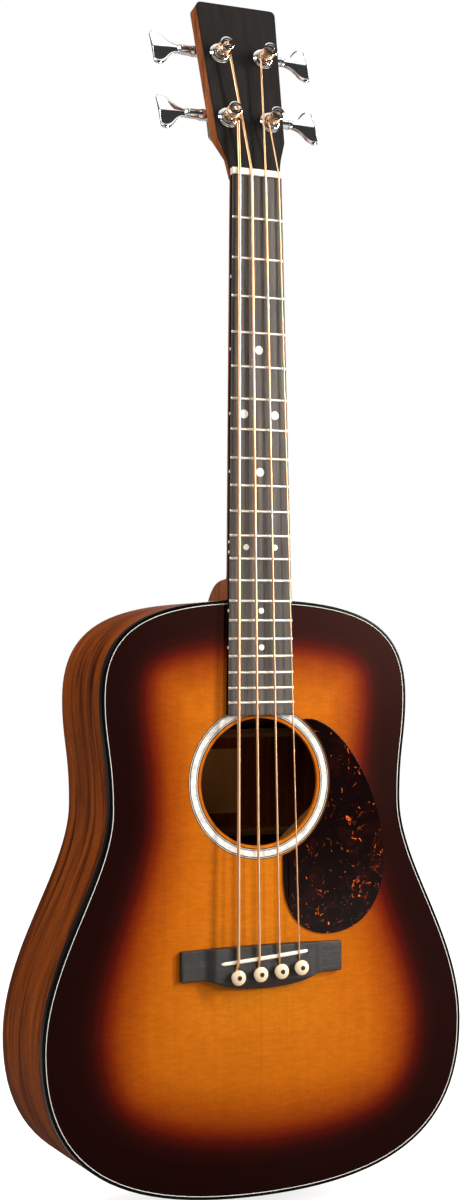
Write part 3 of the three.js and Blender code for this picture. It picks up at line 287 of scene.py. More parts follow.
class Nodes:
    """Short way to add and join the nodes of one tree."""

    def __init__(self, tree: bpy.types.NodeTree) -> None:
        """Keeps the tree that nodes are added to."""
        self.tree = tree

    def feed(self, socket: Socket, value: object) -> None:
        """Gives an input a value, or the output that feeds it."""
        if isinstance(value, Socket):
            self.tree.links.new(value, socket)
        else:
            socket.default_value = value

    def add(self, kind: str, inputs: Optional[dict] = None, **settings: object) -> bpy.types.Node:
        """Adds a node.

        Args:
            kind: Its type, without the leading ShaderNode.
            inputs: Sockets by name or number, each with a value or the socket that feeds it.
            **settings: Attributes of the node.

        Returns:
            The node.
        """
        node = self.tree.nodes.new("ShaderNode" + kind)
        for name, value in settings.items():
            setattr(node, name, value)
        for name, value in (inputs or {}).items():
            self.feed(node.inputs[name], value)
        return node

    def math(self, operation: str, one: object, two: object = 0.0, three: object = 0.0) -> Socket:
        """Output of a Math node."""
        return self.add("Math", {0: one, 1: two, 2: three}, operation=operation).outputs[0]

    def product(self, first: object, *others: object) -> Socket:
        """All the values multiplied together, in order."""
        for other in others:
            first = self.math("MULTIPLY", first, other)
        return first

    def parts(self, vector: object) -> bpy.types.bpy_prop_collection:
        """The three components of a vector."""
        return self.add("SeparateXYZ", {0: vector}).outputs

    def scaled(self, vector: object, stretch: object) -> Socket:
        """Vector multiplied by another, component by component."""
        return self.add("VectorMath", {0: vector, 1: stretch}, operation="MULTIPLY").outputs[0]

    def noise(self, vector: object, scale: object, detail: float = 3.0, **more: float) -> Socket:
        """Factor of a Noise texture."""
        return self.add("TexNoise", {"Vector": vector, "Scale": scale, "Detail": detail, **more}).outputs[0]

    def ranged(self, value: object, low: float, high: float, to_low: float, to_high: float) -> Socket:
        """Value mapped from one range to another, and held inside it."""
        sockets = {"Value": value, "From Min": low, "From Max": high, "To Min": to_low, "To Max": to_high}
        return self.add("MapRange", sockets).outputs[0]

    def spread(self, noise: object, to_low: float, to_high: float) -> Socket:
        """Noise, which seldom leaves the middle of its range, mapped to a range of its own."""
        return self.ranged(noise, 0.3, 0.7, to_low, to_high)

    def blend(self, mode: str, factor: object, one: object, two: object) -> Socket:
        """Colour that mixes two others."""
        return self.add("Mix", {0: factor, 6: one, 7: two}, data_type="RGBA", blend_type=mode).outputs[2]

    def grey(self, value: object) -> Socket:
        """Grey as bright as a value."""
        return self.add("CombineColor", {0: value, 1: value, 2: value}).outputs[0]

    def dimmed(self, colour: object, value: object) -> Socket:
        """Colour multiplied by a value."""
        return self.blend("MULTIPLY", 1.0, colour, self.grey(value))

    def ramp(self, value: object, stops: Stops) -> Socket:
        """Colour ramp with the given stops."""
        node = self.add("ValToRGB", {0: value})
        elements = node.color_ramp.elements
        while len(elements) < len(stops):
            elements.new(0.5)
        for element, (place, colour) in zip(elements, stops):
            element.position = place
        for element, (place, colour) in zip(elements, stops):
            element.color = (*colour, 1)
        return node.outputs[0]


class Effects:
    """Node groups for the effects that several finishes share."""

    @staticmethod
    def group(name: str, inputs: dict[str, object],
              draw: Callable[[Nodes, Sequence], dict[str, Socket]]) -> bpy.types.NodeTree:
        """Group of a name, made when it is first asked for.

        Args:
            name: Name of the group.
            inputs: Usual value of each input, which is a vector where the value has three numbers.
            draw: Draws the nodes from the inputs' sockets, and gives each output's value by its name.

        Returns:
            The group.
        """
        known = bpy.data.node_groups.get(name)
        if known:
            return known
        tree = bpy.data.node_groups.new(name, "ShaderNodeTree")
        for socket, value in inputs.items():
            kind = "NodeSocketFloat" if isinstance(value, float) else "NodeSocketVector"
            tree.interface.new_socket(socket, in_out="INPUT", socket_type=kind).default_value = value
        drawn = draw(Nodes(tree), tree.nodes.new("NodeGroupInput").outputs)
        for socket in drawn:
            tree.interface.new_socket(socket, in_out="OUTPUT", socket_type="NodeSocketFloat")
        outs = tree.nodes.new("NodeGroupOutput").inputs
        for socket, value in drawn.items():
            tree.links.new(value, outs[socket])
        return tree

    @classmethod
    def grain(cls) -> bpy.types.NodeTree:
        """Wood grain: broad streaks, fine lines and pores, drawn out along the stretch's smallest share."""
        def draw(n: Nodes, ins: Sequence) -> dict[str, Socket]:
            """Draws three noises of one stretched place, each finer than the one before."""
            place = n.scaled(ins["Vector"], ins["Stretch"])
            pores = n.noise(place, n.math("MULTIPLY", ins["Fineness"], 3.0), 2.0)
            return {"Streaks": n.noise(place, 1.0, 4.0, Distortion=0.6),
                    "Lines": n.noise(place, ins["Fineness"]),
                    "Pores": n.ranged(pores, 0.36, 0.5, 1.0, 0.0)}
        inputs = {"Vector": (0.0, 0.0, 0.0), "Stretch": (100.0, 100.0, 5.0), "Fineness": 6.0}
        return cls.group("Wood grain", inputs, draw)

    @classmethod
    def wear(cls) -> bpy.types.NodeTree:
        """Handling marks: cloudy smudges, fine crossing scratches and a surface ripple."""
        def draw(n: Nodes, ins: Sequence) -> dict[str, Socket]:
            """Draws a soft noise, two noises drawn out into crossing hairs, and a fine noise."""
            place, size = ins["Vector"], ins["Size"]
            across, along = (n.noise(n.scaled(place, hairs), 1.0, 2.0)
                             for hairs in ((900.0, 900.0, 40.0), (40.0, 900.0, 900.0)))
            return {"Smudges": n.noise(place, size, 5.0),
                    "Scratches": n.ranged(n.math("MINIMUM", across, along), 0.24, 0.3, 1.0, 0.0),
                    "Ripple": n.noise(place, n.math("MULTIPLY", size, 40.0), 2.0)}
        return cls.group("Handling marks", {"Vector": (0.0, 0.0, 0.0), "Size": 20.0}, draw)


class Surface(Nodes):
    """The nodes of one material, with its Principled shader."""

    def __init__(self, name: str) -> None:
        """Starts an empty material with a Principled shader and its output."""
        self.material = bpy.data.materials.new(name)
        self.material.use_nodes = True
        super().__init__(self.material.node_tree)
        self.tree.nodes.clear()
        self.shader = self.add("BsdfPrincipled")
        self.add("OutputMaterial", {0: self.shader.outputs[0]})
        self.place = self.add("TexCoord").outputs["Object"]

    def give(self, **sockets: object) -> None:
        """Sets or feeds the shader's sockets, named with underscores for spaces."""
        for name, value in sockets.items():
            self.feed(self.shader.inputs[name.replace("_", " ")], value)

    def grain(self, stretch: Point, fineness: float, place: object = None) -> Sequence[Socket]:
        """Outputs of the grain group: streaks, lines and pores."""
        inputs = {0: place or self.place, 1: stretch, 2: fineness}
        return self.add("Group", inputs, node_tree=Effects.grain()).outputs[:]

    def wear(self, size: float) -> Sequence[Socket]:
        """Outputs of the handling group: smudges, scratches and ripple."""
        return self.add("Group", {0: self.place, 1: size}, node_tree=Effects.wear()).outputs[:]

    def clouded(self, mask: object, one: Colour, two: Colour) -> Socket:
        """Mix of two colours by a mask."""
        return self.blend("MIX", mask, (*one, 1), (*two, 1))

    def sheen(self, marks: object, rough: tuple[float, float], flaws: object, dulled: float) -> Socket:
        """Roughness that follows soft marks, and is higher in the flaws."""
        return self.math("ADD", self.spread(marks, *rough), self.math("MULTIPLY", flaws, dulled))

    def bumped(self, *heights: tuple[object, float]) -> None:
        """Feeds the shader's normal with bumps, each a height and its reach in millimetres."""
        normal = None
        for height, reach in heights:
            inputs = {"Height": height, "Distance": reach / METRE, "Strength": 1.0}
            if normal is not None:
                inputs["Normal"] = normal
            normal = self.add("Bump", inputs).outputs[0]
        self.give(Normal=normal)


# Finishes

@dataclass(frozen=True)
class Finish:
    """A finish by name, made into a material once."""

    name: str

    def draw(self, surface: Surface) -> None:
        """Draws the finish's nodes."""
        raise NotImplementedError

    def material(self) -> bpy.types.Material:
        """The finish's material."""
        known = bpy.data.materials.get(self.name)
        if known:
            return known
        surface = Surface(self.name)
        self.draw(surface)
        return surface.material


@dataclass(frozen=True)
class WoodFinish(Finish):
    """Sawn wood under a thin satin finish."""

    shades: Stops
    stretch: tuple[float, float, float] = (60.0, 300.0, 4.0)
    fineness: float = 5.0
    line_depth: float = 0.35
    pore_depth: float = 0.5
    roughness: tuple[float, float] = (0.42, 0.6)
    bump: float = 0.05
    specular: float = 0.5

    def draw(self, surface: Surface) -> None:
        """Draws streaks in the shades, darker lines and pores, smudged sheen and a grained surface."""
        streaks, lines, pores = surface.grain(self.stretch, self.fineness)
        smudges, scratches, _ = surface.wear(14.0)
        colour = surface.ramp(surface.ranged(streaks, 0.28, 0.72, 0.0, 1.0), self.shades)
        dark = surface.spread(lines, 1.0 - self.line_depth, 1.0 + self.line_depth * 0.3)
        dark = surface.product(dark, surface.math("MULTIPLY_ADD", pores, -self.pore_depth, 1.0))
        rough = surface.sheen(smudges, self.roughness, pores, 0.08)
        surface.give(Base_Color=surface.dimmed(colour, dark), Roughness=rough,
                     Specular_IOR_Level=self.specular)
        surface.bumped((lines, self.bump), (pores, -self.bump), (scratches, -0.01))


@dataclass(frozen=True)
class BurstFinish(Finish):
    """Sunburst lacquer over bookmatched spruce: its colour follows the distance from the body's edge."""

    reach: float = 160.0
    stops: Stops = (
        (0.0, linear(12, 1, 1)), (22.0, linear(14, 1, 1)), (32.0, linear(31, 3, 2)), (40.0, linear(66, 8, 3)),
        (48.0, linear(103, 30, 3)), (56.0, linear(130, 53, 4)), (66.0, linear(146, 67, 6)),
        (82.0, linear(166, 85, 9)), (112.0, linear(174, 93, 13)), (150.0, linear(180, 102, 16)),
    )

    def draw(self, surface: Surface) -> None:
        """Draws the burst, the mirrored grain with its seam, its silk, the lacquer's fine texture and painted
        shade that darkens the top towards the tail.
        """
        edge = surface.add("Attribute", attribute_name="burst").outputs["Fac"]
        colour = surface.ramp(edge, [(d / self.reach, c) for d, c in self.stops])
        mirrored = surface.add("VectorMath", {0: surface.place}, operation="ABSOLUTE").outputs[0]
        streaks, lines, _ = surface.grain((260.0, 60.0, 6.0), 3.2, mirrored)
        silk = surface.noise(surface.scaled(mirrored, (110.0, 20.0, 420.0)), 1.0, 4.0)
        speckle = surface.noise(surface.scaled(surface.place, (700.0, 300.0, 1300.0)), 1.0, 2.0)
        figure = surface.noise(surface.scaled(mirrored, (26.0, 10.0, 70.0)), 1.0, 2.0)
        seam = surface.ranged(surface.parts(mirrored)[0], 0.0001, 0.0006, 0.86, 1.0)
        across, _, height = surface.parts(surface.place)
        shade = surface.product(
            surface.spread(lines, 0.96, 1.03),
            surface.spread(streaks, 0.97, 1.025),
            surface.ranged(silk, 0.35, 0.68, 0.9, 1.07),
            surface.ranged(speckle, 0.35, 0.65, 0.94, 1.05),
            surface.spread(figure, 0.96, 1.04),
            seam,
            surface.ranged(across, -0.001, 0.001, 0.985, 1.02),
            # painted shade: the colour darkens towards the tail, standing in for less light falling there
            surface.ranged(height, -0.79, -0.6, 0.82, 1.05))
        smudges, scratches, _ = surface.wear(9.0)
        surface.give(Base_Color=surface.dimmed(colour, shade), Roughness=surface.spread(smudges, 0.28, 0.36),
                     Specular_IOR_Level=0.12, Specular_Tint=(1.0, 0.34, 0.26, 1.0))
        surface.bumped((lines, 0.02), (speckle, 0.012), (scratches, -0.004))


@dataclass(frozen=True)
class PlasticFinish(Finish):
    """Moulded or cut plastic, bone or lacquer with a slightly uneven colour."""

    colour: Colour
    second: Colour
    roughness: tuple[float, float] = (0.22, 0.36)
    size: float = 30.0
    bump: float = 0.01
    subsurface: float = 0.0
    specular: float = 0.5

    def draw(self, surface: Surface) -> None:
        """Draws a cloudy mix of two close colours, a worn gloss and fine scratches."""
        smudges, scratches, ripple = surface.wear(self.size)
        colour = surface.clouded(surface.spread(smudges, 0.0, 1.0), self.colour, self.second)
        rough = surface.sheen(ripple, self.roughness, scratches, 0.15)
        surface.give(Base_Color=colour, Roughness=rough, Specular_IOR_Level=self.specular)
        if self.subsurface:
            surface.give(Subsurface_Weight=self.subsurface, Subsurface_Scale=0.001)
        surface.bumped((ripple, self.bump), (scratches, -0.006))


@dataclass(frozen=True)
class TortoiseFinish(Finish):
    """Dark marbled sheet with orange and red flecks under gloss."""

    base: Colour = linear(10, 1, 1)
    middle: Colour = linear(30, 5, 3)
    dull: Colour = linear(94, 20, 7)
    fleck: Colour = linear(232, 104, 30)

    def draw(self, surface: Surface) -> None:
        """Draws sparse curling strokes and small shards, broken up so that they come in drifts."""
        bend = surface.add("TexNoise", {"Vector": surface.place, "Scale": 55.0, "Detail": 3.0})
        shift = surface.add("VectorMath", {0: bend.outputs["Color"], 1: (0.5, 0.5, 0.5)},
                            operation="SUBTRACT")
        pull = surface.scaled(shift.outputs[0], (0.04, 0.0, 0.04))
        curled = surface.add("VectorMath", {0: surface.place, 1: pull}, operation="ADD").outputs[0]
        strokes = surface.noise(surface.scaled(curled, (240.0, 60.0, 130.0)), 1.0, 1.0, Distortion=0.8)
        ridge = surface.math("ABSOLUTE", surface.math("SUBTRACT", strokes, 0.5))
        line = surface.ranged(ridge, 0.005, 0.013, 1.0, 0.0)
        broken = surface.ranged(surface.noise(curled, 190.0, 1.0), 0.57, 0.6, 0.0, 1.0)
        lower = surface.ranged(surface.parts(surface.place)[2], -0.6, -0.5, 0.08, -0.06)
        drift = surface.math("ADD", surface.noise(surface.place, 34.0), lower)
        drifts = surface.ranged(drift, 0.42, 0.5, 0.0, 1.0)
        chips = {"Vector": surface.scaled(curled, (420.0, 40.0, 230.0)), "Scale": 1.0}
        cells = surface.add("TexVoronoi", chips).outputs
        chance = surface.add("SeparateColor", {0: cells["Color"]}).outputs[0]
        picked = surface.ranged(chance, 0.93, 0.94, 0.0, 1.0)
        shards = surface.product(surface.ranged(cells["Distance"], 0.2, 0.34, 1.0, 0.0), picked)
        marks = surface.math("MAXIMUM", surface.product(line, broken, drifts), shards)
        cloud = surface.ranged(surface.noise(curled, 60.0, 4.0), 0.5, 0.75, 0.0, 1.0)
        glow = surface.ranged(surface.noise(surface.place, 90.0, 2.0), 0.4, 0.6, 0.0, 1.0)
        colour = surface.blend("MIX", marks, surface.clouded(cloud, self.base, self.middle),
                               surface.clouded(glow, self.dull, self.fleck))
        smudges, scratches, _ = surface.wear(16.0)
        rough = surface.sheen(smudges, (0.05, 0.1), scratches, 0.05)
        surface.give(Base_Color=colour, Roughness=rough, Specular_IOR_Level=0.12)
        surface.bumped((smudges, 0.02), (scratches, -0.002))


@dataclass(frozen=True)
class PearlFinish(Finish):
    """Pearl laid in short pieces, with drifting grey and white."""

    shades: Stops = (
        (0.3, linear(176, 170, 165)), (0.5, linear(219, 212, 205)), (0.7, linear(244, 238, 231)))

    def draw(self, surface: Surface) -> None:
        """Draws drifting bands and the faint joints between the pieces."""
        bands = surface.noise(surface.scaled(surface.place, (160.0, 160.0, 260.0)), 1.0, 4.0, Distortion=1.2)
        cells = surface.add("TexVoronoi", {"Vector": surface.place, "Scale": 95.0}).outputs["Color"]
        tone = surface.add("SeparateColor", {0: cells}).outputs[0]
        value = surface.math("ADD", surface.math("MULTIPLY", bands, 0.7), surface.math("MULTIPLY", tone, 0.3))
        colour = surface.ramp(value, self.shades)
        _, scratches, ripple = surface.wear(30.0)
        surface.give(Base_Color=colour, Roughness=surface.spread(ripple, 0.14, 0.26), Specular_IOR_Level=0.5,
                     Coat_Weight=0.2, Coat_Roughness=0.1)
        surface.bumped((bands, 0.03), (scratches, -0.004))


@dataclass(frozen=True)
class MetalFinish(Finish):
    """Bare or plated metal, with finger marks and fine scratches."""

    colour: Colour
    roughness: tuple[float, float] = (0.06, 0.16)
    bump: float = 0.004
    wound: float = 0.0  # pitch of the wrap in millimetres, or 0 for a plain surface

    def draw(self, surface: Surface) -> None:
        """Draws the marks in the sheen, and the wrap of a wound string where there is one, with painted shade
        in the grooves between its windings.
        """
        smudges, scratches, ripple = surface.wear(60.0)
        rough = surface.sheen(smudges, self.roughness, scratches, 0.12)
        dim = tuple(0.8 * c for c in self.colour)
        colour = surface.clouded(surface.ranged(smudges, 0.35, 0.75, 0.0, 1.0), self.colour, dim)
        if self.wound:
            travel = surface.add("Attribute", attribute_name="travel").outputs["Fac"]
            wave = surface.math("SINE", surface.math("MULTIPLY", travel, 2 * math.pi / self.wound))
            # painted shade: darker in the grooves between the windings
            colour = surface.dimmed(colour, surface.ranged(wave, -1.0, -0.4, 0.85, 1.0))
            surface.bumped((wave, 0.004), (ripple, 0.001))
        else:
            surface.bumped((ripple, self.bump), (scratches, -0.003))
        surface.give(Base_Color=colour, Metallic=1.0, Roughness=rough)


@dataclass(frozen=True)
class StudioFinish(Finish):
    """Pale painted floor."""

    def draw(self, surface: Surface) -> None:
        """Draws a nearly even pale paint, evenly bright to the camera and dimmer to what it lights."""
        smudges = surface.wear(2.0)[0]
        colour = surface.ramp(smudges, [(0.3, (0.3, 0.3, 0.3)), (0.7, (0.33, 0.33, 0.33))])
        surface.give(Base_Color=colour, Roughness=0.8, Specular_IOR_Level=0.1)
        glow = surface.add("Emission", {0: (1, 1, 1, 1), 1: 0.8}).outputs[0]
        both = surface.add("AddShader", {0: surface.shader.outputs[0], 1: glow}).outputs[0]
        seen = surface.add("LightPath").outputs["Is Camera Ray"]
        mixed = surface.add("MixShader", {0: seen, 1: surface.shader.outputs[0], 2: both}).outputs[0]
        output = next(node for node in surface.tree.nodes if node.type == "OUTPUT_MATERIAL")
        surface.tree.links.new(mixed, output.inputs[0])


def evenly(*colours: tuple[int, int, int]) -> Stops:
    """Stops of a ramp, evenly spaced, from screen colours."""
    return tuple((i / (len(colours) - 1), linear(*colour)) for i, colour in enumerate(colours))


BURST = BurstFinish("Sunburst lacquer over spruce")
RIBBON = WoodFinish(
    "Ribboned rib wood", ((0.0, linear(52, 20, 4)), (0.22, linear(80, 34, 8)), (0.42, linear(112, 51, 12)),
                          (0.7, linear(128, 60, 15)), (1.0, linear(142, 68, 18))),
    stretch=(16.0, 112.0, 8.0), fineness=9.0, line_depth=0.22, pore_depth=0.32, roughness=(0.5, 0.64),
    specular=0.03)
BACK_WOOD = WoodFinish(
    "Ribboned back wood", evenly((76, 32, 7), (94, 41, 9), (112, 51, 12), (125, 59, 15), (136, 66, 18)),
    stretch=(112.0, 16.0, 8.0), fineness=9.0, line_depth=0.14, pore_depth=0.3, roughness=(0.5, 0.64),
    specular=0.03)
NECK_WOOD = WoodFinish(
    "Satin neck wood", evenly((110, 53, 25), (148, 80, 42), (178, 106, 58)),
    stretch=(130.0, 130.0, 12.0), line_depth=0.34, roughness=(0.45, 0.6), specular=0.1)
INNER_SPRUCE = WoodFinish(
    "Bare brace spruce", evenly((104, 62, 28), (132, 84, 42), (154, 104, 56)),
    stretch=(5.0, 260.0, 260.0), fineness=4.0, pore_depth=0.1, roughness=(0.65, 0.8), specular=0.1)
BOARD_WOOD = WoodFinish(
    "Dark fingerboard wood", evenly((52, 46, 42), (76, 69, 64), (98, 90, 84)),
    stretch=(300.0, 160.0, 7.0), line_depth=0.25, pore_depth=0.3, roughness=(0.45, 0.6), bump=0.03,
    specular=0.3)
BRIDGE_WOOD = WoodFinish(
    "Dark bridge wood", evenly((12, 9, 8), (22, 18, 16), (36, 31, 28)),
    stretch=(7.0, 160.0, 260.0), line_depth=0.25, pore_depth=0.3, roughness=(0.34, 0.5), specular=0.45)
VENEER = WoodFinish(
    "Satin black veneer", evenly((22, 19, 18), (26, 23, 22), (31, 28, 26)),
    stretch=(160.0, 120.0, 14.0), line_depth=0.08, pore_depth=0.12, roughness=(0.45, 0.6), bump=0.01,
    specular=0.1)
BLACK_LINE = PlasticFinish("Black binding", linear(4, 3, 3), linear(7, 6, 6), (0.14, 0.24), specular=0.06)
WHITE_LINE = PlasticFinish("White line", linear(206, 201, 192), linear(222, 217, 208), (0.25, 0.35),
                           specular=0.2)
GREY_LINE = PlasticFinish("Grey fibre line", linear(96, 92, 88), linear(122, 118, 112), (0.35, 0.5))
IVORY = PlasticFinish("Ivory saddle and nut", linear(226, 216, 196), linear(238, 231, 216), (0.24, 0.36),
                      subsurface=0.08)
CREAM = PlasticFinish("Cream bridge pin", linear(204, 178, 146), linear(224, 202, 172), (0.16, 0.28),
                      subsurface=0.05)
BLACK_DOT = PlasticFinish("Black pin dot", linear(16, 15, 15), linear(26, 25, 24))
BLACK_PLASTIC = PlasticFinish("Black end pin", linear(14, 13, 13), linear(22, 20, 20), (0.16, 0.28))
DOT_PEARL = PlasticFinish("Position dot", linear(206, 202, 192), linear(240, 238, 232), (0.16, 0.26), 900.0)
PAPER = PlasticFinish("Blank paper label", linear(172, 116, 58), linear(186, 128, 68), (0.7, 0.85), 60.0,
                      0.03, specular=0.1)
TORTOISE = TortoiseFinish("Marbled tortoise sheet")
PEARL = PearlFinish("Pearl rosette")
CHROME = MetalFinish("Polished chrome", linear(232, 230, 229), (0.04, 0.1), 0.002)
NICKEL = MetalFinish("Nickel fret", linear(244, 236, 222), (0.3, 0.4), 0.0)
STEEL = MetalFinish("Plain steel", linear(150, 150, 152), (0.3, 0.45))
BRONZE = {name: MetalFinish(f"Wound bronze {name}", linear(247, 194, 148), (0.28, 0.4), wound=wrap)
          for name, wrap in zip(STRING_NAMES, (0.62, 0.5, 0.4, 0.3))}
FLOOR = StudioFinish("Pale floor paint")


class Slot(Enum):
    """Material slots of the record, one named beside each piece's finish."""

    TOP = "sunburst_top"
    ROSETTE = "rosette"
    BINDING = "binding"
    PURFLING = "purfling"
    BACK = "back_and_ribs"
    INNER = "inner_wood"
    NECK = "neck_wood"
    DARK = "dark_wood"
    IVORY = "ivory"
    GUARD = "pickguard"
    PLASTIC = "black_plastic"
    VENEER = "head_veneer"
    CHROME = "chrome"
    STRING = "bronze_string"


class Cut(Enum):
    """What a boolean does with its cutters."""

    TAKE = "DIFFERENCE"
    ADD = "UNION"


# Making pieces

class Maker:
    """Turns shells into pieces of the scene, and counts them."""

    count = 0

    @staticmethod
    def object_of(name: str, shell: Shell, matrix: Matrix) -> Piece:
        """Object with the shell's mesh, its points moved into the row's frame and its faces turned out."""
        mesh = bpy.data.meshes.new(name)
        mesh.from_pydata([matrix @ p for p in shell.points], [], shell.faces)
        mesh.validate()
        obj = bpy.data.objects.new(name, mesh)
        bpy.context.scene.collection.objects.link(obj)
        work = bmesh.new()
        work.from_mesh(mesh)
        bmesh.ops.recalc_face_normals(work, faces=work.faces)
        work.to_mesh(mesh)
        work.free()
        return obj

    @staticmethod
    def shell_of(obj: Piece, matrix: Matrix) -> Shell:
        """Shell of an object in a frame's millimetres; the object itself is removed."""
        back, mesh = matrix.inverted(), obj.data
        shell = Shell([back @ v.co for v in mesh.vertices], [tuple(face.vertices) for face in mesh.polygons])
        bpy.data.objects.remove(obj)
        bpy.data.meshes.remove(mesh)
        return shell

    @staticmethod
    def settle(obj: Piece) -> None:
        """Applies the object's modifiers to its mesh."""
        graph = bpy.context.evaluated_depsgraph_get()
        mesh = bpy.data.meshes.new_from_object(obj.evaluated_get(graph))
        old = obj.data
        obj.modifiers.clear()
        obj.data = mesh
        bpy.data.meshes.remove(old)

    @classmethod
    def carve(cls, obj: Piece, matrix: Matrix, cuts: Sequence[Shell], kind: Cut = Cut.TAKE) -> None:
        """Cuts shells from an object, or joins them to it.

        Args:
            obj: The object that is changed.
            matrix: Frame in which the shells are drawn.
            cuts: The shells, each a closed body.
            kind: Whether they are cut or joined.
        """
        tools = []
        for i, cut in enumerate(cuts):
            tool = cls.object_of(f"tool_{i}", cut, matrix)
            modifier = obj.modifiers.new(f"cut_{i}", "BOOLEAN")
            modifier.operation = kind.value
            modifier.solver = "EXACT"
            modifier.object = tool
            tools.append(tool)
        cls.settle(obj)
        for tool in tools:
            mesh = tool.data
            bpy.data.objects.remove(tool)
            bpy.data.meshes.remove(mesh)

    @classmethod
    def finish(cls, obj: Piece, finish: Finish, slot: Slot, body: str = "guitar",
               replaces: Iterable[str] = (), crease: float = 32.0) -> Piece:
        """Dresses a piece and ties it to its body.

        Args:
            obj: The piece.
            finish: Its finish.
            slot: The record's slot for it. Not used.
            body: The body that it rides on.
            replaces: CAD nodes that it stands for.
            crease: Angle in degrees above which an edge stays sharp.

        Returns:
            The piece.
        """
        obj.data.materials.clear()
        obj.data.materials.append(finish.material())
        obj.data.shade_smooth()
        obj.data.set_sharp_from_angle(angle=math.radians(crease))
        obj.modifiers.new("weighted", "WEIGHTED_NORMAL").keep_sharp = True
        cls.settle(obj)
        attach(obj, body)
        if replaces:
            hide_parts(*replaces)
        cls.count += 1
        log.info("%s: %d faces, %s, on %s", obj.name, len(obj.data.polygons), finish.name, body)
        return obj

    @classmethod
    def piece(cls, name: str, shell: Shell, matrix: Matrix, finish: Finish, slot: Slot, body: str = "guitar",
              replaces: Iterable[str] = (), crease: float = 32.0) -> Piece:
        """Makes and dresses a piece in one step, with the arguments of object_of and finish."""
        return cls.finish(cls.object_of(name, shell, matrix), finish, slot, body, replaces, crease)

    @staticmethod
    def dress(node: str, finish: Finish) -> None:
        """Gives a carried-over CAD node a better material."""
        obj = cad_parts[node]
        material = finish.material()
        if not obj.data.materials:
            obj.data.materials.append(material)
        for place in range(len(obj.material_slots)):
            obj.material_slots[place].material = material
        log.info("%s: carried over, %s", node, finish.name)

    @staticmethod
    def number_points(obj: Piece, name: str, values: Sequence[float]) -> None:
        """Stores one number for each point of a piece, for its material to read."""
        layer = obj.data.attributes.new(name, "FLOAT", "POINT")
        layer.data.foreach_set("value", np.asarray(values, dtype=np.float32))


# Body

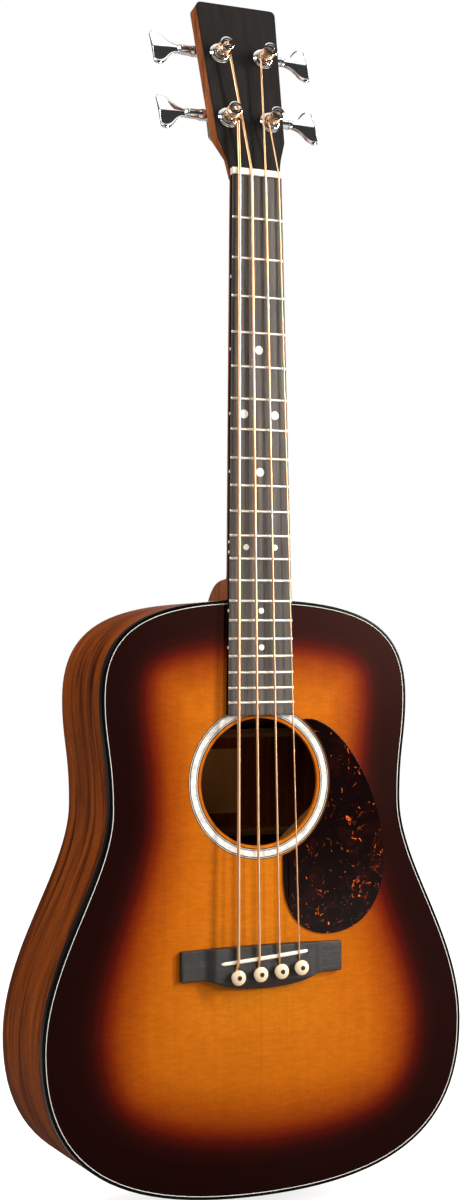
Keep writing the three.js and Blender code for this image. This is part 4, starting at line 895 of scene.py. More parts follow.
@dataclass
class BodyOutline:
    """Waisted outline of the body, from the tail to the shoulder, and the arch of the back."""

    tail: float = -190.95
    lower_half: float = 178.4
    lower_line: float = -67.2
    waist_half: float = 124.5
    waist_line: float = 111.5
    upper_half: float = 131.0
    upper_line: float = 196.4
    shares: tuple[float, ...] = (0.654, 0.724, 0.383, 0.291, 0.485, 0.382, 0.71, 0.736)
    tail_depth: float = 109.0
    shoulder_depth: float = 94.5
    back_arch: float = 3.5
    stations: int = 26

    def curves(self) -> list[tuple[Point, ...]]:
        """The four cubic curves of the treble side; each share sets how far a handle reaches."""
        s = self.shares
        tail, end = (0.0, self.tail), (0.0, SHOULDER)
        lower, waist = (self.lower_half, self.lower_line), (self.waist_half, self.waist_line)
        upper = (self.upper_half, self.upper_line)

        def towards(start: Point, stop: Point, share: float) -> Point:
            """Point straight above or below the start."""
            return start[0], mix(start[1], stop[1], share)
        return [
            (tail, (lower[0] * s[0], tail[1]), towards(lower, tail, s[1]), lower),
            (lower, towards(lower, waist, s[2]), towards(waist, lower, s[3]), waist),
            (waist, towards(waist, upper, s[4]), towards(upper, waist, s[5]), upper),
            (upper, towards(upper, end, s[6]), (upper[0] * s[7], end[1]), end),
        ]

    def side(self, inset: float = 0.0) -> list[Vector]:
        """Points of the treble side, moved inwards by the inset, from the tail to the shoulder."""
        points = []
        nudge = 1e-4
        for k, curve in enumerate(self.curves()):
            for i in range(0 if k == 0 else 1, self.stations + 1):
                share = i / self.stations
                here = bezier(*curve, share)
                ahead, behind = bezier(*curve, min(share + nudge, 1)), bezier(*curve, max(share - nudge, 0))
                along = (ahead - behind).normalized()
                points.append(Vector((max(here.x - along.y * inset, 0), here.y + along.x * inset)))
        return points

    def whole(self, inset: float = 0.0) -> list[Vector]:
        """Closed outline, moved inwards by the inset, anticlockwise from the tail."""
        side = self.side(inset)
        return side + [Vector((-p.x, p.y)) for p in reversed(side[1:-1])]

    def back_height(self, x: float, y: float) -> float:
        """Height of the back's outer face."""
        share = (y - self.tail) / (SHOULDER - self.tail)
        across = x / self.lower_half
        return self.back_arch * across * across - mix(self.tail_depth, self.shoulder_depth, share)

    def plate(self, layers: Sequence[tuple[float, Callable[[float, float], float]]], columns: int) -> Shell:
        """Plate whose two faces are grids, so that it can be arched and can carry numbers over its face.

        Args:
            layers: Inset and height of each layer of the edge, from one face to the other.
            columns: How many columns each face has.

        Returns:
            The closed plate.
        """
        rows = len(self.side()) - 2
        width = columns + 1
        shell = Shell()

        def lattice(inset: float, height: Callable[[float, float], float]) -> list[Vector]:
            """Grid of points over the whole outline."""
            points = []
            for here in self.side(inset)[1:-1]:
                for x in steps(-here.x, here.x, columns):
                    points.append(Vector((x, here.y, height(x, here.y))))
            return points
        rim = list(range(width))
        rim += [r * width + columns for r in range(1, rows)]
        rim += [(rows - 1) * width + c for c in range(columns - 1, -1, -1)]
        rim += [r * width for r in range(rows - 2, 0, -1)]
        loops = []
        for k, (inset, height) in enumerate(layers):
            points = lattice(inset, height)
            first = len(shell.points)
            if k in (0, len(layers) - 1):
                shell.points += points
                loops.append([first + i for i in rim])
                for r in range(rows - 1):
                    for c in range(columns):
                        corner = first + r * width + c
                        shell.faces.append((corner, corner + 1, corner + width + 1, corner + width))
            else:
                shell.points += [points[i] for i in rim]
                loops.append([first + i for i in range(len(rim))])
        for near, far in zip(loops, loops[1:]):
            for j in range(len(rim)):
                k = (j + 1) % len(rim)
                shell.faces.append((near[j], near[k], far[k], far[j]))
        return shell

    def strip(self, section: Sequence[Point]) -> Shell:
        """Strip that follows the whole outline; its section lists inset and height."""
        outlines = [self.whole(inset) for inset, _ in section]
        return loft([[(*outlines[k][i], section[k][1]) for k in range(len(section))]
                     for i in range(len(outlines[0]))], closed=True)

    def distances(self, points: np.ndarray) -> np.ndarray:
        """Distance of each point from the outline."""
        ring = np.array([tuple(p) for p in self.whole()])
        start, step = ring, np.roll(ring, -1, 0) - ring
        least = np.full(len(points), np.inf)
        for a, d in zip(start, step):
            along = np.clip((points - a) @ d / (d @ d), 0, 1)
            least = np.minimum(least, np.linalg.norm(points - a - along[:, None] * d, axis=1))
        return least


@dataclass
class SoundboardUnit:
    """Soundboard with its burst, rosette, binding and purfling."""

    outline: BodyOutline
    edge: float = 3.8
    thickness: float = 3.0
    columns: int = 44
    hole_line: float = 129.7
    hole: float = 50.0
    segments: int = 96
    upper_gain: float = 0.16
    corner_loss: float = 8.0
    tail_loss: float = 3.0
    ring_depth: float = 1.0
    ring_gap: float = 0.02
    ring_edge: float = 0.08
    rings: tuple[tuple[str, float, float, float, Finish], ...] = (
        ("black", 52.3, 53.0, 0.04, BLACK_LINE), ("white", 53.0, 53.5, 0.05, WHITE_LINE),
        ("grey", 53.5, 54.3, 0.04, GREY_LINE), ("pearl", 54.3, 58.7, 0.07, PEARL),
        ("dark", 58.7, 59.4, 0.04, BLACK_LINE), ("pale", 59.4, 59.9, 0.05, WHITE_LINE),
        ("outer", 59.9, 60.5, 0.04, BLACK_LINE))
    binding_width: float = 2.0
    binding_depth: float = 6.2
    binding_round: float = 0.9
    line_depth: float = 3.0
    lines: tuple[tuple[str, float, float, Finish], ...] = (
        ("purfling_dark", 2.02, 2.48, BLACK_LINE), ("purfling_white", 2.5, 2.98, WHITE_LINE),
        ("purfling_black", 3.07, 3.78, BLACK_LINE))

    def build(self) -> None:
        """Builds the board, its rings and its edge."""
        self.board()
        self.rosette()
        self.trim()

    def board(self) -> None:
        """Builds the board as a grid, cuts its hole and the rings' channel, and numbers its points."""
        layers = [(self.edge, lambda x, y: -self.thickness), (self.edge, lambda x, y: 0.0)]
        obj = Maker.object_of("soundboard_burst", self.outline.plate(layers, self.columns), BODY)
        hole = prism(circle(self.hole, self.segments, 0, self.hole_line), -2 * self.thickness, self.thickness)
        inner, outer, under, over = self.rings[0][1], self.rings[-1][2], -self.ring_depth, 2.0
        channel = revolved([(inner, under), (outer, under), (outer, over), (inner, over), (inner, under)],
                           self.segments)
        Maker.carve(obj, BODY, [hole, channel.moved(Matrix.Translation((0, self.hole_line, 0)))])
        places = np.empty(len(obj.data.vertices) * 3)
        obj.data.vertices.foreach_get("co", places)
        places = places.reshape(-1, 3) * METRE
        flat = np.stack([places[:, 0], places[:, 2] + BODY_DROP], 1)
        Maker.number_points(obj, "burst", self.burst(flat) / BURST.reach)
        Maker.finish(obj, BURST, Slot.TOP, replaces=["soundboard"])

    def burst(self, flat: np.ndarray) -> np.ndarray:
        """How deep into the burst's colours each point lies.

        Args:
            flat: Places of the points in the soundboard's plane.

        Returns:
            Distances from the edge, longer in the upper half, and shorter at the lower left and the tail.
        """
        x, y = flat[:, 0], flat[:, 1]
        upper = eased(np.clip((y + 40) / 130, 0, 1))
        corner = np.exp(-((y + 105) / 75) ** 2) * np.clip(-x / 120, 0, 1)
        tail = np.clip((-y - 90) / 100, 0, 1)
        widened = self.outline.distances(flat) * (1 + self.upper_gain * upper)
        return np.maximum(widened - self.corner_loss * corner - self.tail_loss * tail, 0)

    def rosette(self) -> None:
        """Lays the rings round the hole."""
        matrix = BODY @ Matrix.Translation((0, self.hole_line, 0))
        for name, inner, outer, proud, finish in self.rings:
            near, far, shoulder = inner + self.ring_gap, outer - self.ring_gap, proud - self.ring_edge
            under = -self.ring_depth
            profile = [(near, under), (far, under), (far, shoulder), (outer - self.ring_edge, proud),
                       (inner + self.ring_edge, proud), (near, shoulder), (near, under)]
            Maker.piece(f"rosette_{name}", revolved(profile, self.segments), matrix, finish, Slot.ROSETTE,
                        replaces=["rosette"])

    def trim(self) -> None:
        """Lays the binding and the lines inside it."""
        radius, low = self.binding_round, -self.binding_depth
        corner = [(radius - radius * math.sin(t), radius * math.cos(t) - radius)
                  for t in steps(0, QUARTER, 4)]
        section = [(0.0, low), (self.binding_width, low), (self.binding_width, 0.0), *corner]
        Maker.piece("binding_black", self.outline.strip(section), BODY, BLACK_LINE, Slot.BINDING,
                    replaces=["top_binding"])
        for name, near, far, finish in self.lines:
            flat = [(near, -self.line_depth), (far, -self.line_depth), (far, 0.0), (near, 0.0)]
            Maker.piece(name, self.outline.strip(flat), BODY, finish, Slot.PURFLING,
                        replaces=["top_purfling"])


@dataclass
class BodyBox:
    """Ribs, back and what is glued inside them."""

    outline: BodyOutline
    rib: float = 2.0
    upper: float = -6.25
    back: float = 2.5
    back_round: float = 1.6
    joint: float = 0.05
    strip_halves: Point = (2.2, 2.8)
    strip_heights: Point = (-6.3, -105.8)
    strip_proud: float = 0.12
    seams: tuple[tuple[str, float, float, Finish], ...] = (
        ("dark", 2.6, 0.05, BLACK_LINE), ("pale", 0.6, 0.08, WHITE_LINE))
    label_xs: Point = (-60.0, 22.5)
    label_ys: Point = (98.5, 152.0)
    label_line: float = 122.0
    label_rise: float = 0.35
    label_thickness: float = 0.25

    def build(self) -> None:
        """Builds the ribs, the back, the inlay at the tail and the label, and dresses the wood inside."""
        self.ribs()
        self.back_plate()
        self.inside()

    def ribs(self) -> None:
        """Builds both ribs, each bent from one board, and the strip where they meet at the tail."""
        outer, inner = self.outline.side(0.0), self.outline.side(self.rib)
        for name, side in SIDES.items():
            rings = []
            for a, b in zip(outer, inner):
                xa, xb = side * max(a.x, self.joint), side * max(b.x, self.joint)
                la = self.outline.back_height(a.x, a.y) + self.back
                lb = self.outline.back_height(b.x, b.y) + self.back
                ring = [(xa, a.y, mix(self.upper, la, s)) for s in steps(0, 1, 6)]
                ring += [(xb, b.y, lb), (xb, b.y, self.upper)]
                rings.append(ring)
            Maker.piece(f"rib_{name}_bent", loft(rings), BODY, RIBBON, Slot.BACK, replaces=[f"rib_{name}"])
        (top, bottom), (high, low) = self.strip_halves, self.strip_heights
        strip = [Vector((x, self.outline.tail - self.strip_proud, z))
                 for x, z in ((-top, high), (top, high), (bottom, low), (-bottom, low))]
        deep = [Vector((p.x, p.y + 1.0, p.z)) for p in strip]
        Maker.piece("tail_strip", loft([strip, deep]), BODY, BLACK_LINE, Slot.BINDING)

    def back_plate(self) -> None:
        """Builds the arched back with its edge rounded over, and the strip along its seam."""
        arch, radius = self.outline.back_height, self.back_round
        layers = [(radius * (1 - math.sin(t)),
                   lambda x, y, lift=radius * (1 - math.cos(t)): arch(x, y) + lift)
                  for t in steps(0, QUARTER, 4)]
        layers.append((0.0, lambda x, y: arch(x, y) + self.back - 0.02))
        obj = Maker.object_of("back_arched", self.outline.plate(layers, 30), BODY)
        Maker.finish(obj, BACK_WOOD, Slot.BACK, replaces=["back_plate"], crease=40)
        sunk = 0.6
        for name, half, proud, finish in self.seams:
            rings = []
            for y in steps(self.outline.tail + 2, SHOULDER - 2, 24):
                z = arch(0, y)
                rings.append([(-half, y, z + sunk), (half, y, z + sunk),
                              (half, y, z - proud), (-half, y, z - proud)])
            Maker.piece(f"back_seam_{name}", loft(rings), BODY, finish, Slot.BACK)

    def inside(self) -> None:
        """Lays the blank label and dresses braces, linings and blocks."""
        slope = (self.outline.shoulder_depth - self.outline.tail_depth) / (self.outline.tail - SHOULDER)
        low, high = self.label_ys
        rings = []
        for x in steps(*self.label_xs, 8):
            base = self.outline.back_height(x, self.label_line) + self.back + self.label_rise
            near, far = (base + slope * (y - self.label_line) for y in (low, high))
            rings.append([(x, low, near - self.label_thickness),
                          (x, high, far - self.label_thickness),
                          (x, high, far), (x, low, near)])
        Maker.piece("label_blank", loft(rings), BODY, PAPER, Slot.INNER)
        pairs = [f"{kind}_{side}" for side in SIDES for kind in ("top_lining", "back_lining", "x_brace")]
        braces = ["upper_brace", "tone_bar_upper", "tone_bar_lower"]
        braces += [f"back_brace_{i}" for i in range(1, 5)]
        for node in pairs + braces:
            Maker.dress(node, INNER_SPRUCE)
        for node in ("neck_block", "tail_block", "bridge_plate"):
            Maker.dress(node, NECK_WOOD)
        Maker.dress("truss_rod", STEEL)


@dataclass
class Pickguard:
    """Marbled guard beside the rosette."""

    line: float = 129.7
    inner: float = 61.2
    tip_x: float = 37.6
    inner_x: float = 19.3
    inner_line: float = 56.0
    wide: float = 108.9
    wide_line: float = 66.0
    foot_x: float = 60.0
    foot_line: float = 8.0
    base: float = 0.05
    top: float = 1.2
    bevel: float = 0.35

    def outline(self) -> list[Vector]:
        """Edge of the guard, anticlockwise."""
        def rise(x: float) -> float:
            """Height over the hole's centre of the edge that follows the rosette."""
            return math.sqrt(self.inner ** 2 - x * x)
        tip = (self.tip_x, self.line + rise(self.tip_x))
        wide, low = (self.wide, self.wide_line), (self.foot_x, self.foot_line)
        inner = (self.inner_x, self.inner_line)
        curves = [(tip, (68, 184), (self.wide, 122), wide),
                  (wide, (self.wide, 28), (86, self.foot_line), low),
                  (low, (32, self.foot_line), (self.inner_x, 28), inner)]
        points = [bezier(*curve, i / 24) for curve in curves for i in range(24)]
        points.append(Vector(inner))
        start, stop = math.atan2(-rise(self.inner_x), self.inner_x), math.atan2(rise(self.tip_x), self.tip_x)
        points += [Vector((self.inner * math.cos(t), self.line + self.inner * math.sin(t)))
                   for t in steps(start, stop, 40)[:-1]]
        return list(reversed(points))

    def build(self) -> None:
        """Builds the guard with a bevelled edge."""
        sheet = prism(self.outline(), self.base, self.top, self.bevel)
        Maker.piece("pickguard_sheet", sheet, BODY, TORTOISE, Slot.GUARD, replaces=["pickguard"])


# Bridge

@dataclass
class BridgeUnit:
    """Belly bridge with its compensated saddle and its pins."""

    half: float = 68.7
    wing_upper: float = 1.9
    crown_upper: float = 3.3
    wing_lower: float = -21.2
    belly_lower: float = -30.3
    belly_end: float = 52.0
    belly_turn: float = 39.0
    wing_end: float = 4.0
    wing_root: float = 4.7
    scoop_outer: float = 50.0
    scoop_inner: float = 41.0
    shoulder: float = 8.2
    crown: float = 8.7
    slope_start: float = -22.6
    slope_drop: float = 4.4
    edge_round: float = 0.9
    saddle_half: float = 36.7
    saddle_bass: float = -9.2
    saddle_treble: float = -3.3
    saddle_crest: float = 10.4
    saddle_reach: float = 36.8
    saddle_side: float = 1.5
    saddle_foot: float = 4.6
    saddle_round: float = 1.2
    slot_gap: Point = (0.4, 0.1, 0.2)
    pin_hole: float = 3.9
    pin_profile: tuple[Point, ...] = (
        (0, -14), (2.5, -14), (3.4, 8.7), (4.3, 8.7), (4.7, 9.1), (4.8, 9.7), (4.6, 10.4), (4.1, 10.9),
        (4.0, 11.2), (4.6, 11.6), (5.5, 12.2))
    dome: Point = (5.9, 12.9, 2.1)
    dot_profile: tuple[Point, ...] = ((0, 14.2), (1.9, 14.2), (1.9, 14.94), (1.7, 15.04), (0, 15.07))

    def lower_edge(self, x: float) -> float:
        """Line of the edge on the tail's side."""
        x = abs(x)
        if x >= self.belly_end:
            return self.wing_lower
        curve = ((self.belly_end, self.wing_lower), (self.belly_turn, self.wing_lower),
                 (self.belly_turn, self.belly_lower), (0.0, self.belly_lower))
        low, high = 0.0, 1.0
        for _ in range(30):
            middle = (low + high) / 2
            if bezier(*curve, middle).x > x:
                low = middle
            else:
                high = middle
        return bezier(*curve, low).y

    def top(self, x: float) -> float:
        """Height of the bridge's top."""
        x = abs(x)
        if x >= self.scoop_outer:
            return mix(self.wing_root, self.wing_end, (x - self.scoop_outer) / (self.half - self.scoop_outer))
        if x >= self.scoop_inner:
            share = (self.scoop_outer - x) / (self.scoop_outer - self.scoop_inner)
            return mix(self.wing_root, self.shoulder, eased(share))
        return self.crown - (self.crown - self.shoulder) * (x / self.scoop_inner) ** 2

    def section(self, x: float, shrink: float) -> Ring:
        """Section across the bridge.

        Args:
            x: Place along the bridge.
            shrink: How far the section is drawn in, for the bevel at the ends.

        Returns:
            The section, with its upper edges rounded over and its belly sloping down behind the pins.
        """
        upper = self.crown_upper - (self.crown_upper - self.wing_upper) * (x / self.half) ** 2 - shrink
        lower, height = self.lower_edge(x) + shrink, self.top(x) - shrink
        seat, radius = 0.02, self.edge_round
        ring = [(x, lower, seat), (x, upper, seat)]
        corner = height - radius
        for t in steps(0, QUARTER, 3):
            ring.append((x, upper - radius + radius * math.cos(t), corner + radius * math.sin(t)))
        reach = max(self.slope_start - lower, 0.0)
        drop = self.slope_drop * (reach / (self.slope_start - self.belly_lower)) ** 2
        for share in steps(0, 1, 8)[:-1]:
            y = lower + radius + 0.4 * (1 - share)
            if reach > radius:
                y = mix(lower + reach, lower + radius, share)
            ring.append((x, y, height - drop * share ** 2))
        for t in steps(QUARTER, 0, 3):
            ring.append((x, lower + radius - radius * math.cos(t),
                         height - drop - radius + radius * math.sin(t)))
        return ring

    def build(self) -> None:
        """Builds the bridge, the saddle and the pins."""
        bevel = [(0.0, 0.8), (0.25, 0.35), (0.8, 0.0)]
        stations = [(-self.half + along, shrink) for along, shrink in bevel]
        stations += [(x, 0.0) for x in steps(-self.half + 2, self.half - 2, 90)]
        stations += [(self.half - along, shrink) for along, shrink in reversed(bevel)]
        obj = Maker.object_of("bridge_carved", loft([self.section(x, s) for x, s in stations]), BODY)
        low, over = 2.0, 14.0
        holes = [prism(circle(self.pin_hole, 24, s.pin_x, s.pin_line), low, over) for s in STRINGS.values()]
        along, across, under = self.slot_gap
        ends, sides = self.saddle_reach + along, self.saddle_side + across
        slot = box((-ends, ends), (-sides, sides), (self.saddle_foot - under, over))
        Maker.carve(obj, BODY, [slot.moved(self.saddle_frame()), *holes])
        Maker.finish(obj, BRIDGE_WOOD, Slot.DARK, replaces=["bridge"])
        self.saddle()
        self.pins()

    def saddle_frame(self) -> Matrix:
        """Frame of the slanted saddle."""
        skew = math.atan2(self.saddle_treble - self.saddle_bass, 2 * self.saddle_half)
        centre = Matrix.Translation((0, (self.saddle_bass + self.saddle_treble) / 2, 0))
        return centre @ Matrix.Rotation(skew, 4, "Z")

    @classmethod
    def crest_point(cls, x: float, over: float) -> Vector:
        """Point of the body's frame that lies over the saddle's crest at x."""
        line = mix(cls.saddle_bass, cls.saddle_treble, (x + cls.saddle_half) / (2 * cls.saddle_half))
        return Vector((x, line, cls.saddle_crest - crown_fall(x) + over))

    def saddle(self) -> None:
        """Builds the saddle with a rounded crest."""
        rings = []
        for x in steps(-self.saddle_reach, self.saddle_reach, 40):
            inset = 0.5 if abs(x) > self.saddle_reach - 0.1 else 0.0
            side, crest = self.saddle_side - inset, self.saddle_crest - crown_fall(x) - inset
            low, rise = crest - self.saddle_round, self.saddle_round
            ring = [(x, -side, self.saddle_foot), (x, side, self.saddle_foot)]
            ring += [(x, side * math.cos(t), low + rise * math.sin(t)) for t in steps(0, math.pi, 8)]
            rings.append(ring)
        Maker.piece("saddle_rounded", loft(rings), BODY @ self.saddle_frame(), IVORY, Slot.IVORY,
                    replaces=["saddle"])

    def pins(self) -> None:
        """Builds the pins, each with a domed head and a dark dot in it."""
        radius, start, rise = self.dome
        dome = [(radius * math.cos(t), start + rise * math.sin(t)) for t in steps(0, QUARTER, 9)]
        for name, string in STRINGS.items():
            matrix = BODY @ Matrix.Translation((string.pin_x, string.pin_line, 0))
            Maker.piece(f"pin_{name}", revolved([*self.pin_profile, *dome]), matrix, CREAM, Slot.IVORY,
                        replaces=[f"bridge_pin_{name}"])
            Maker.piece(f"pin_dot_{name}", revolved(self.dot_profile, 20), matrix, BLACK_DOT, Slot.PLASTIC)


@dataclass
class EndPin:
    """Strap pin in the tail."""

    depth: float = 50.0
    seat: float = BodyOutline.tail - 0.05
    profile: tuple[Point, ...] = (
        (0, 24), (3.4, 24), (4.3, 0), (5.6, 0), (6, -0.4), (6, -1.8), (5.5, -2.3), (4.2, -3.3), (3.4, -5),
        (3.8, -6.2), (5.6, -6.9), (6.7, -7.4), (7, -8.2), (6.9, -9.6), (6.3, -11), (5.2, -11.8), (3.4, -12.2),
        (0, -12.35))

    def build(self) -> None:
        """Builds the turned pin, its profile counted from its seat on the ribs."""
        profile = [(radius, self.seat + height) for radius, height in self.profile]
        matrix = BODY @ Matrix.Translation((0, 0, -self.depth)) @ Matrix.Rotation(-QUARTER, 4, "X")
        Maker.piece("end_pin_turned", revolved(profile), matrix, BLACK_PLASTIC, Slot.PLASTIC,
                    replaces=["end_pin"])


# Neck

def board_half(line: float) -> float:
    """Half the fingerboard's width at a line of the neck."""
    return NUT_HALF + BOARD_FLARE * (NUT_FACE - line)


def board_top(x: float) -> float:
    """Height of the crowned fingerboard."""
    return BOARD_THICKNESS - crown_fall(x)


def board_below(line: float) -> float:
    """Height of the fingerboard's underside, which drops over the body so that it lies on the soundboard."""
    return -(0.26 + 0.0038 * -line) if line < 0 else 0.0


@dataclass
class NeckUnit:
    """Neck with its heel and headstock, the veneer on it and the nut."""

    nut_depth: float = 15.0
    shaft_depth: float = 18.2
    heel_depth: float = 90.0
    shaft_fullness: float = 2.25
    heel_fullness: float = 4.3
    around: int = 40
    cap_length: float = 1.5
    heel_reach: float = 16.3
    fillet: float = 5.0
    cap_half: float = 10.0
    joint: float = 0.3
    shoulder_fall: float = 66.5
    shoulder_reach: float = 289.0
    head_thickness: float = 14.0
    head_foot: float = 2.9
    head_top: float = 151.3
    head_corner: float = 4.8
    throat_half: float = 21.9
    cheek: Point = (29.2, 30.0)
    head_half: float = 34.9
    veneer: float = 1.8
    peg_hole: float = 5.95
    nut_crest: float = 6.6
    nut_length: float = 5.7

    def section(self, line: float, half: float, depth: float) -> Ring:
        """Section of the neck.

        Args:
            line: Its place along the neck.
            half: Half its width at the top.
            depth: How deep it is in the middle.

        Returns:
            The section, flat on top and a full curve below, fuller where it is deep.
        """
        deep = max((depth - self.nut_depth) / (self.heel_depth - self.nut_depth), 0)
        power = 2 / mix(self.shaft_fullness, self.heel_fullness, math.sqrt(deep))
        ring = []
        for i in range(self.around + 1):
            turn = math.pi * i / self.around
            down = depth * max(math.sin(turn), 0) ** power
            narrow = mix(half, self.cap_half, min(down / self.heel_depth, 1))
            cosine = 0.0 if 2 * i == self.around else math.cos(turn)
            ring.append(Vector((narrow * math.copysign(abs(cosine) ** power, cosine), line, -0.02 - down)))
        return ring

    def stations(self) -> list[Ring]:
        """Sections of the neck from the face of the heel, which follows the shoulder, to behind the nut."""
        start = self.section(self.joint, board_half(self.joint), self.heel_depth)
        fall, reach = self.shoulder_fall, self.shoulder_reach
        rings = [[Vector((p.x, p.y - fall * (p.x / reach) ** 2, p.z)) for p in start]]
        filleted, end = self.shaft_depth + self.fillet, self.heel_reach + self.fillet
        for share in steps(1, 0, 26):
            line = mix(self.heel_reach, self.cap_length, share ** 2)
            depth = mix(filleted, self.heel_depth, math.sqrt(share))
            rings.append(self.section(line, board_half(line), depth))
        for turn in steps(0, QUARTER, 6)[1:]:
            line = end - self.fillet * math.cos(turn)
            rings.append(self.section(line, board_half(line), filleted - self.fillet * math.sin(turn)))
        for share in steps(0, 1, 12)[1:]:
            line = mix(end, NUT_FACE, share)
            rings.append(self.section(line, board_half(line), mix(self.shaft_depth, self.nut_depth, share)))
        rings.append(self.section(NUT_FACE + 17.4, self.throat_half, self.nut_depth + 1.7))
        return rings

    def head_outline(self, start: float) -> list[Vector]:
        """Outline of the headstock from a line near its foot, anticlockwise."""
        half, top, corner = self.head_half, self.head_top, self.head_corner
        curve = ((self.throat_half, start), (23.2, 14), (26.6, 21), self.cheek)
        side = [bezier(*curve, s) for s in steps(0, 1, 16)]
        x, y = self.cheek
        side += [Vector((mix(x, half, s), mix(y, top - corner, s))) for s in steps(0, 1, 8)[1:]]
        a, b, c = Vector((half, top - corner)), Vector((half, top)), Vector((half - corner, top))
        side += [a.lerp(b, s).lerp(b.lerp(c, s), s) for s in steps(0, 1, 6)[1:]]
        return side + [Vector((-p.x, p.y)) for p in reversed(side)]

    @staticmethod
    def throat(side: int) -> Shell:
        """What is carved off one lower corner of the headstock, so that it flows into the rounded neck."""
        stations = ((-6, 6.9, 15, 2.2, 12), (14, 13.3, 10, 5, 9.2), (34, 29.2, 0.6, 13.7, 0.6))
        clear, under = 40, -20
        rings = []
        for up, centre, across, top, down in stations:
            arc = [(centre + across * math.cos(t), -top - down * math.sin(t)) for t in steps(0, QUARTER, 12)]
            corners = [(clear, -top), *arc, (centre, under), (clear, under)]
            rings.append([(side * x, up, z) for x, z in corners])
        return loft(rings)

    def build(self) -> None:
        """Builds the neck, the veneer and the nut."""
        obj = Maker.object_of("neck_carved", loft(self.stations()), NECK)
        face = -self.veneer - 0.02
        slab = Maker.object_of("head_slab", prism(self.head_outline(-3.4), -self.head_thickness, face), HEAD)
        Maker.carve(slab, HEAD, [self.throat(side) for side in SIDES.values()])
        Maker.carve(obj, HEAD, [Maker.shell_of(slab, HEAD)], Cut.ADD)
        above = box((-40, 40), (self.head_foot, 160), (face, 40))
        holes = [prism(circle(self.peg_hole, 24, t.x, t.up), -20, 5) for t in TUNERS.values()]
        Maker.carve(obj, HEAD, [above, *holes])
        Maker.finish(obj, NECK_WOOD, Slot.NECK, replaces=["neck"], crease=38)
        sheet = prism(self.head_outline(self.head_foot), -self.veneer, 0, 0.3, 2)
        veneer = Maker.object_of("head_face", sheet, HEAD)
        Maker.carve(veneer, HEAD, holes)
        Maker.finish(veneer, VENEER, Slot.VENEER, replaces=["head_veneer"])
        self.nut()

    def nut(self) -> None:
        """Builds the nut with its rounded top and a groove for each string."""
        rings = []
        front, foot = NUT_FACE + 0.05, 0.02
        for x in steps(-NUT_HALF, NUT_HALF, 44):
            inset = 0.35 if abs(x) > NUT_HALF - 0.05 else 0.0
            crest, back = self.nut_crest - crown_fall(x) - inset, front + self.nut_length - inset
            ring = [(x, front, foot), (x, back, foot), (x, back, crest - 2.0)]
            for t in steps(0, math.pi, 8):
                height = crest - 1.0 + math.sin(t) - 0.5 * math.cos(t)
                ring.append((x, front + 2.9 + 2.8 * math.cos(t), height))
            rings.append(ring)
        obj = Maker.object_of("nut_rounded", loft(rings), NECK)
        grooves = []
        for string in STRINGS.values():
            path = [Vector((string.nut_x, NUT_FACE + y, string.rise() + z))
                    for y, z in ((-4, 0.01), (3, 0), (12, -1.2))]
            grooves.append(swept(path, [string.radius + 0.12] * len(path))[0])
        Maker.carve(obj, NECK, grooves)
        Maker.finish(obj, IVORY, Slot.IVORY, replaces=["nut"])


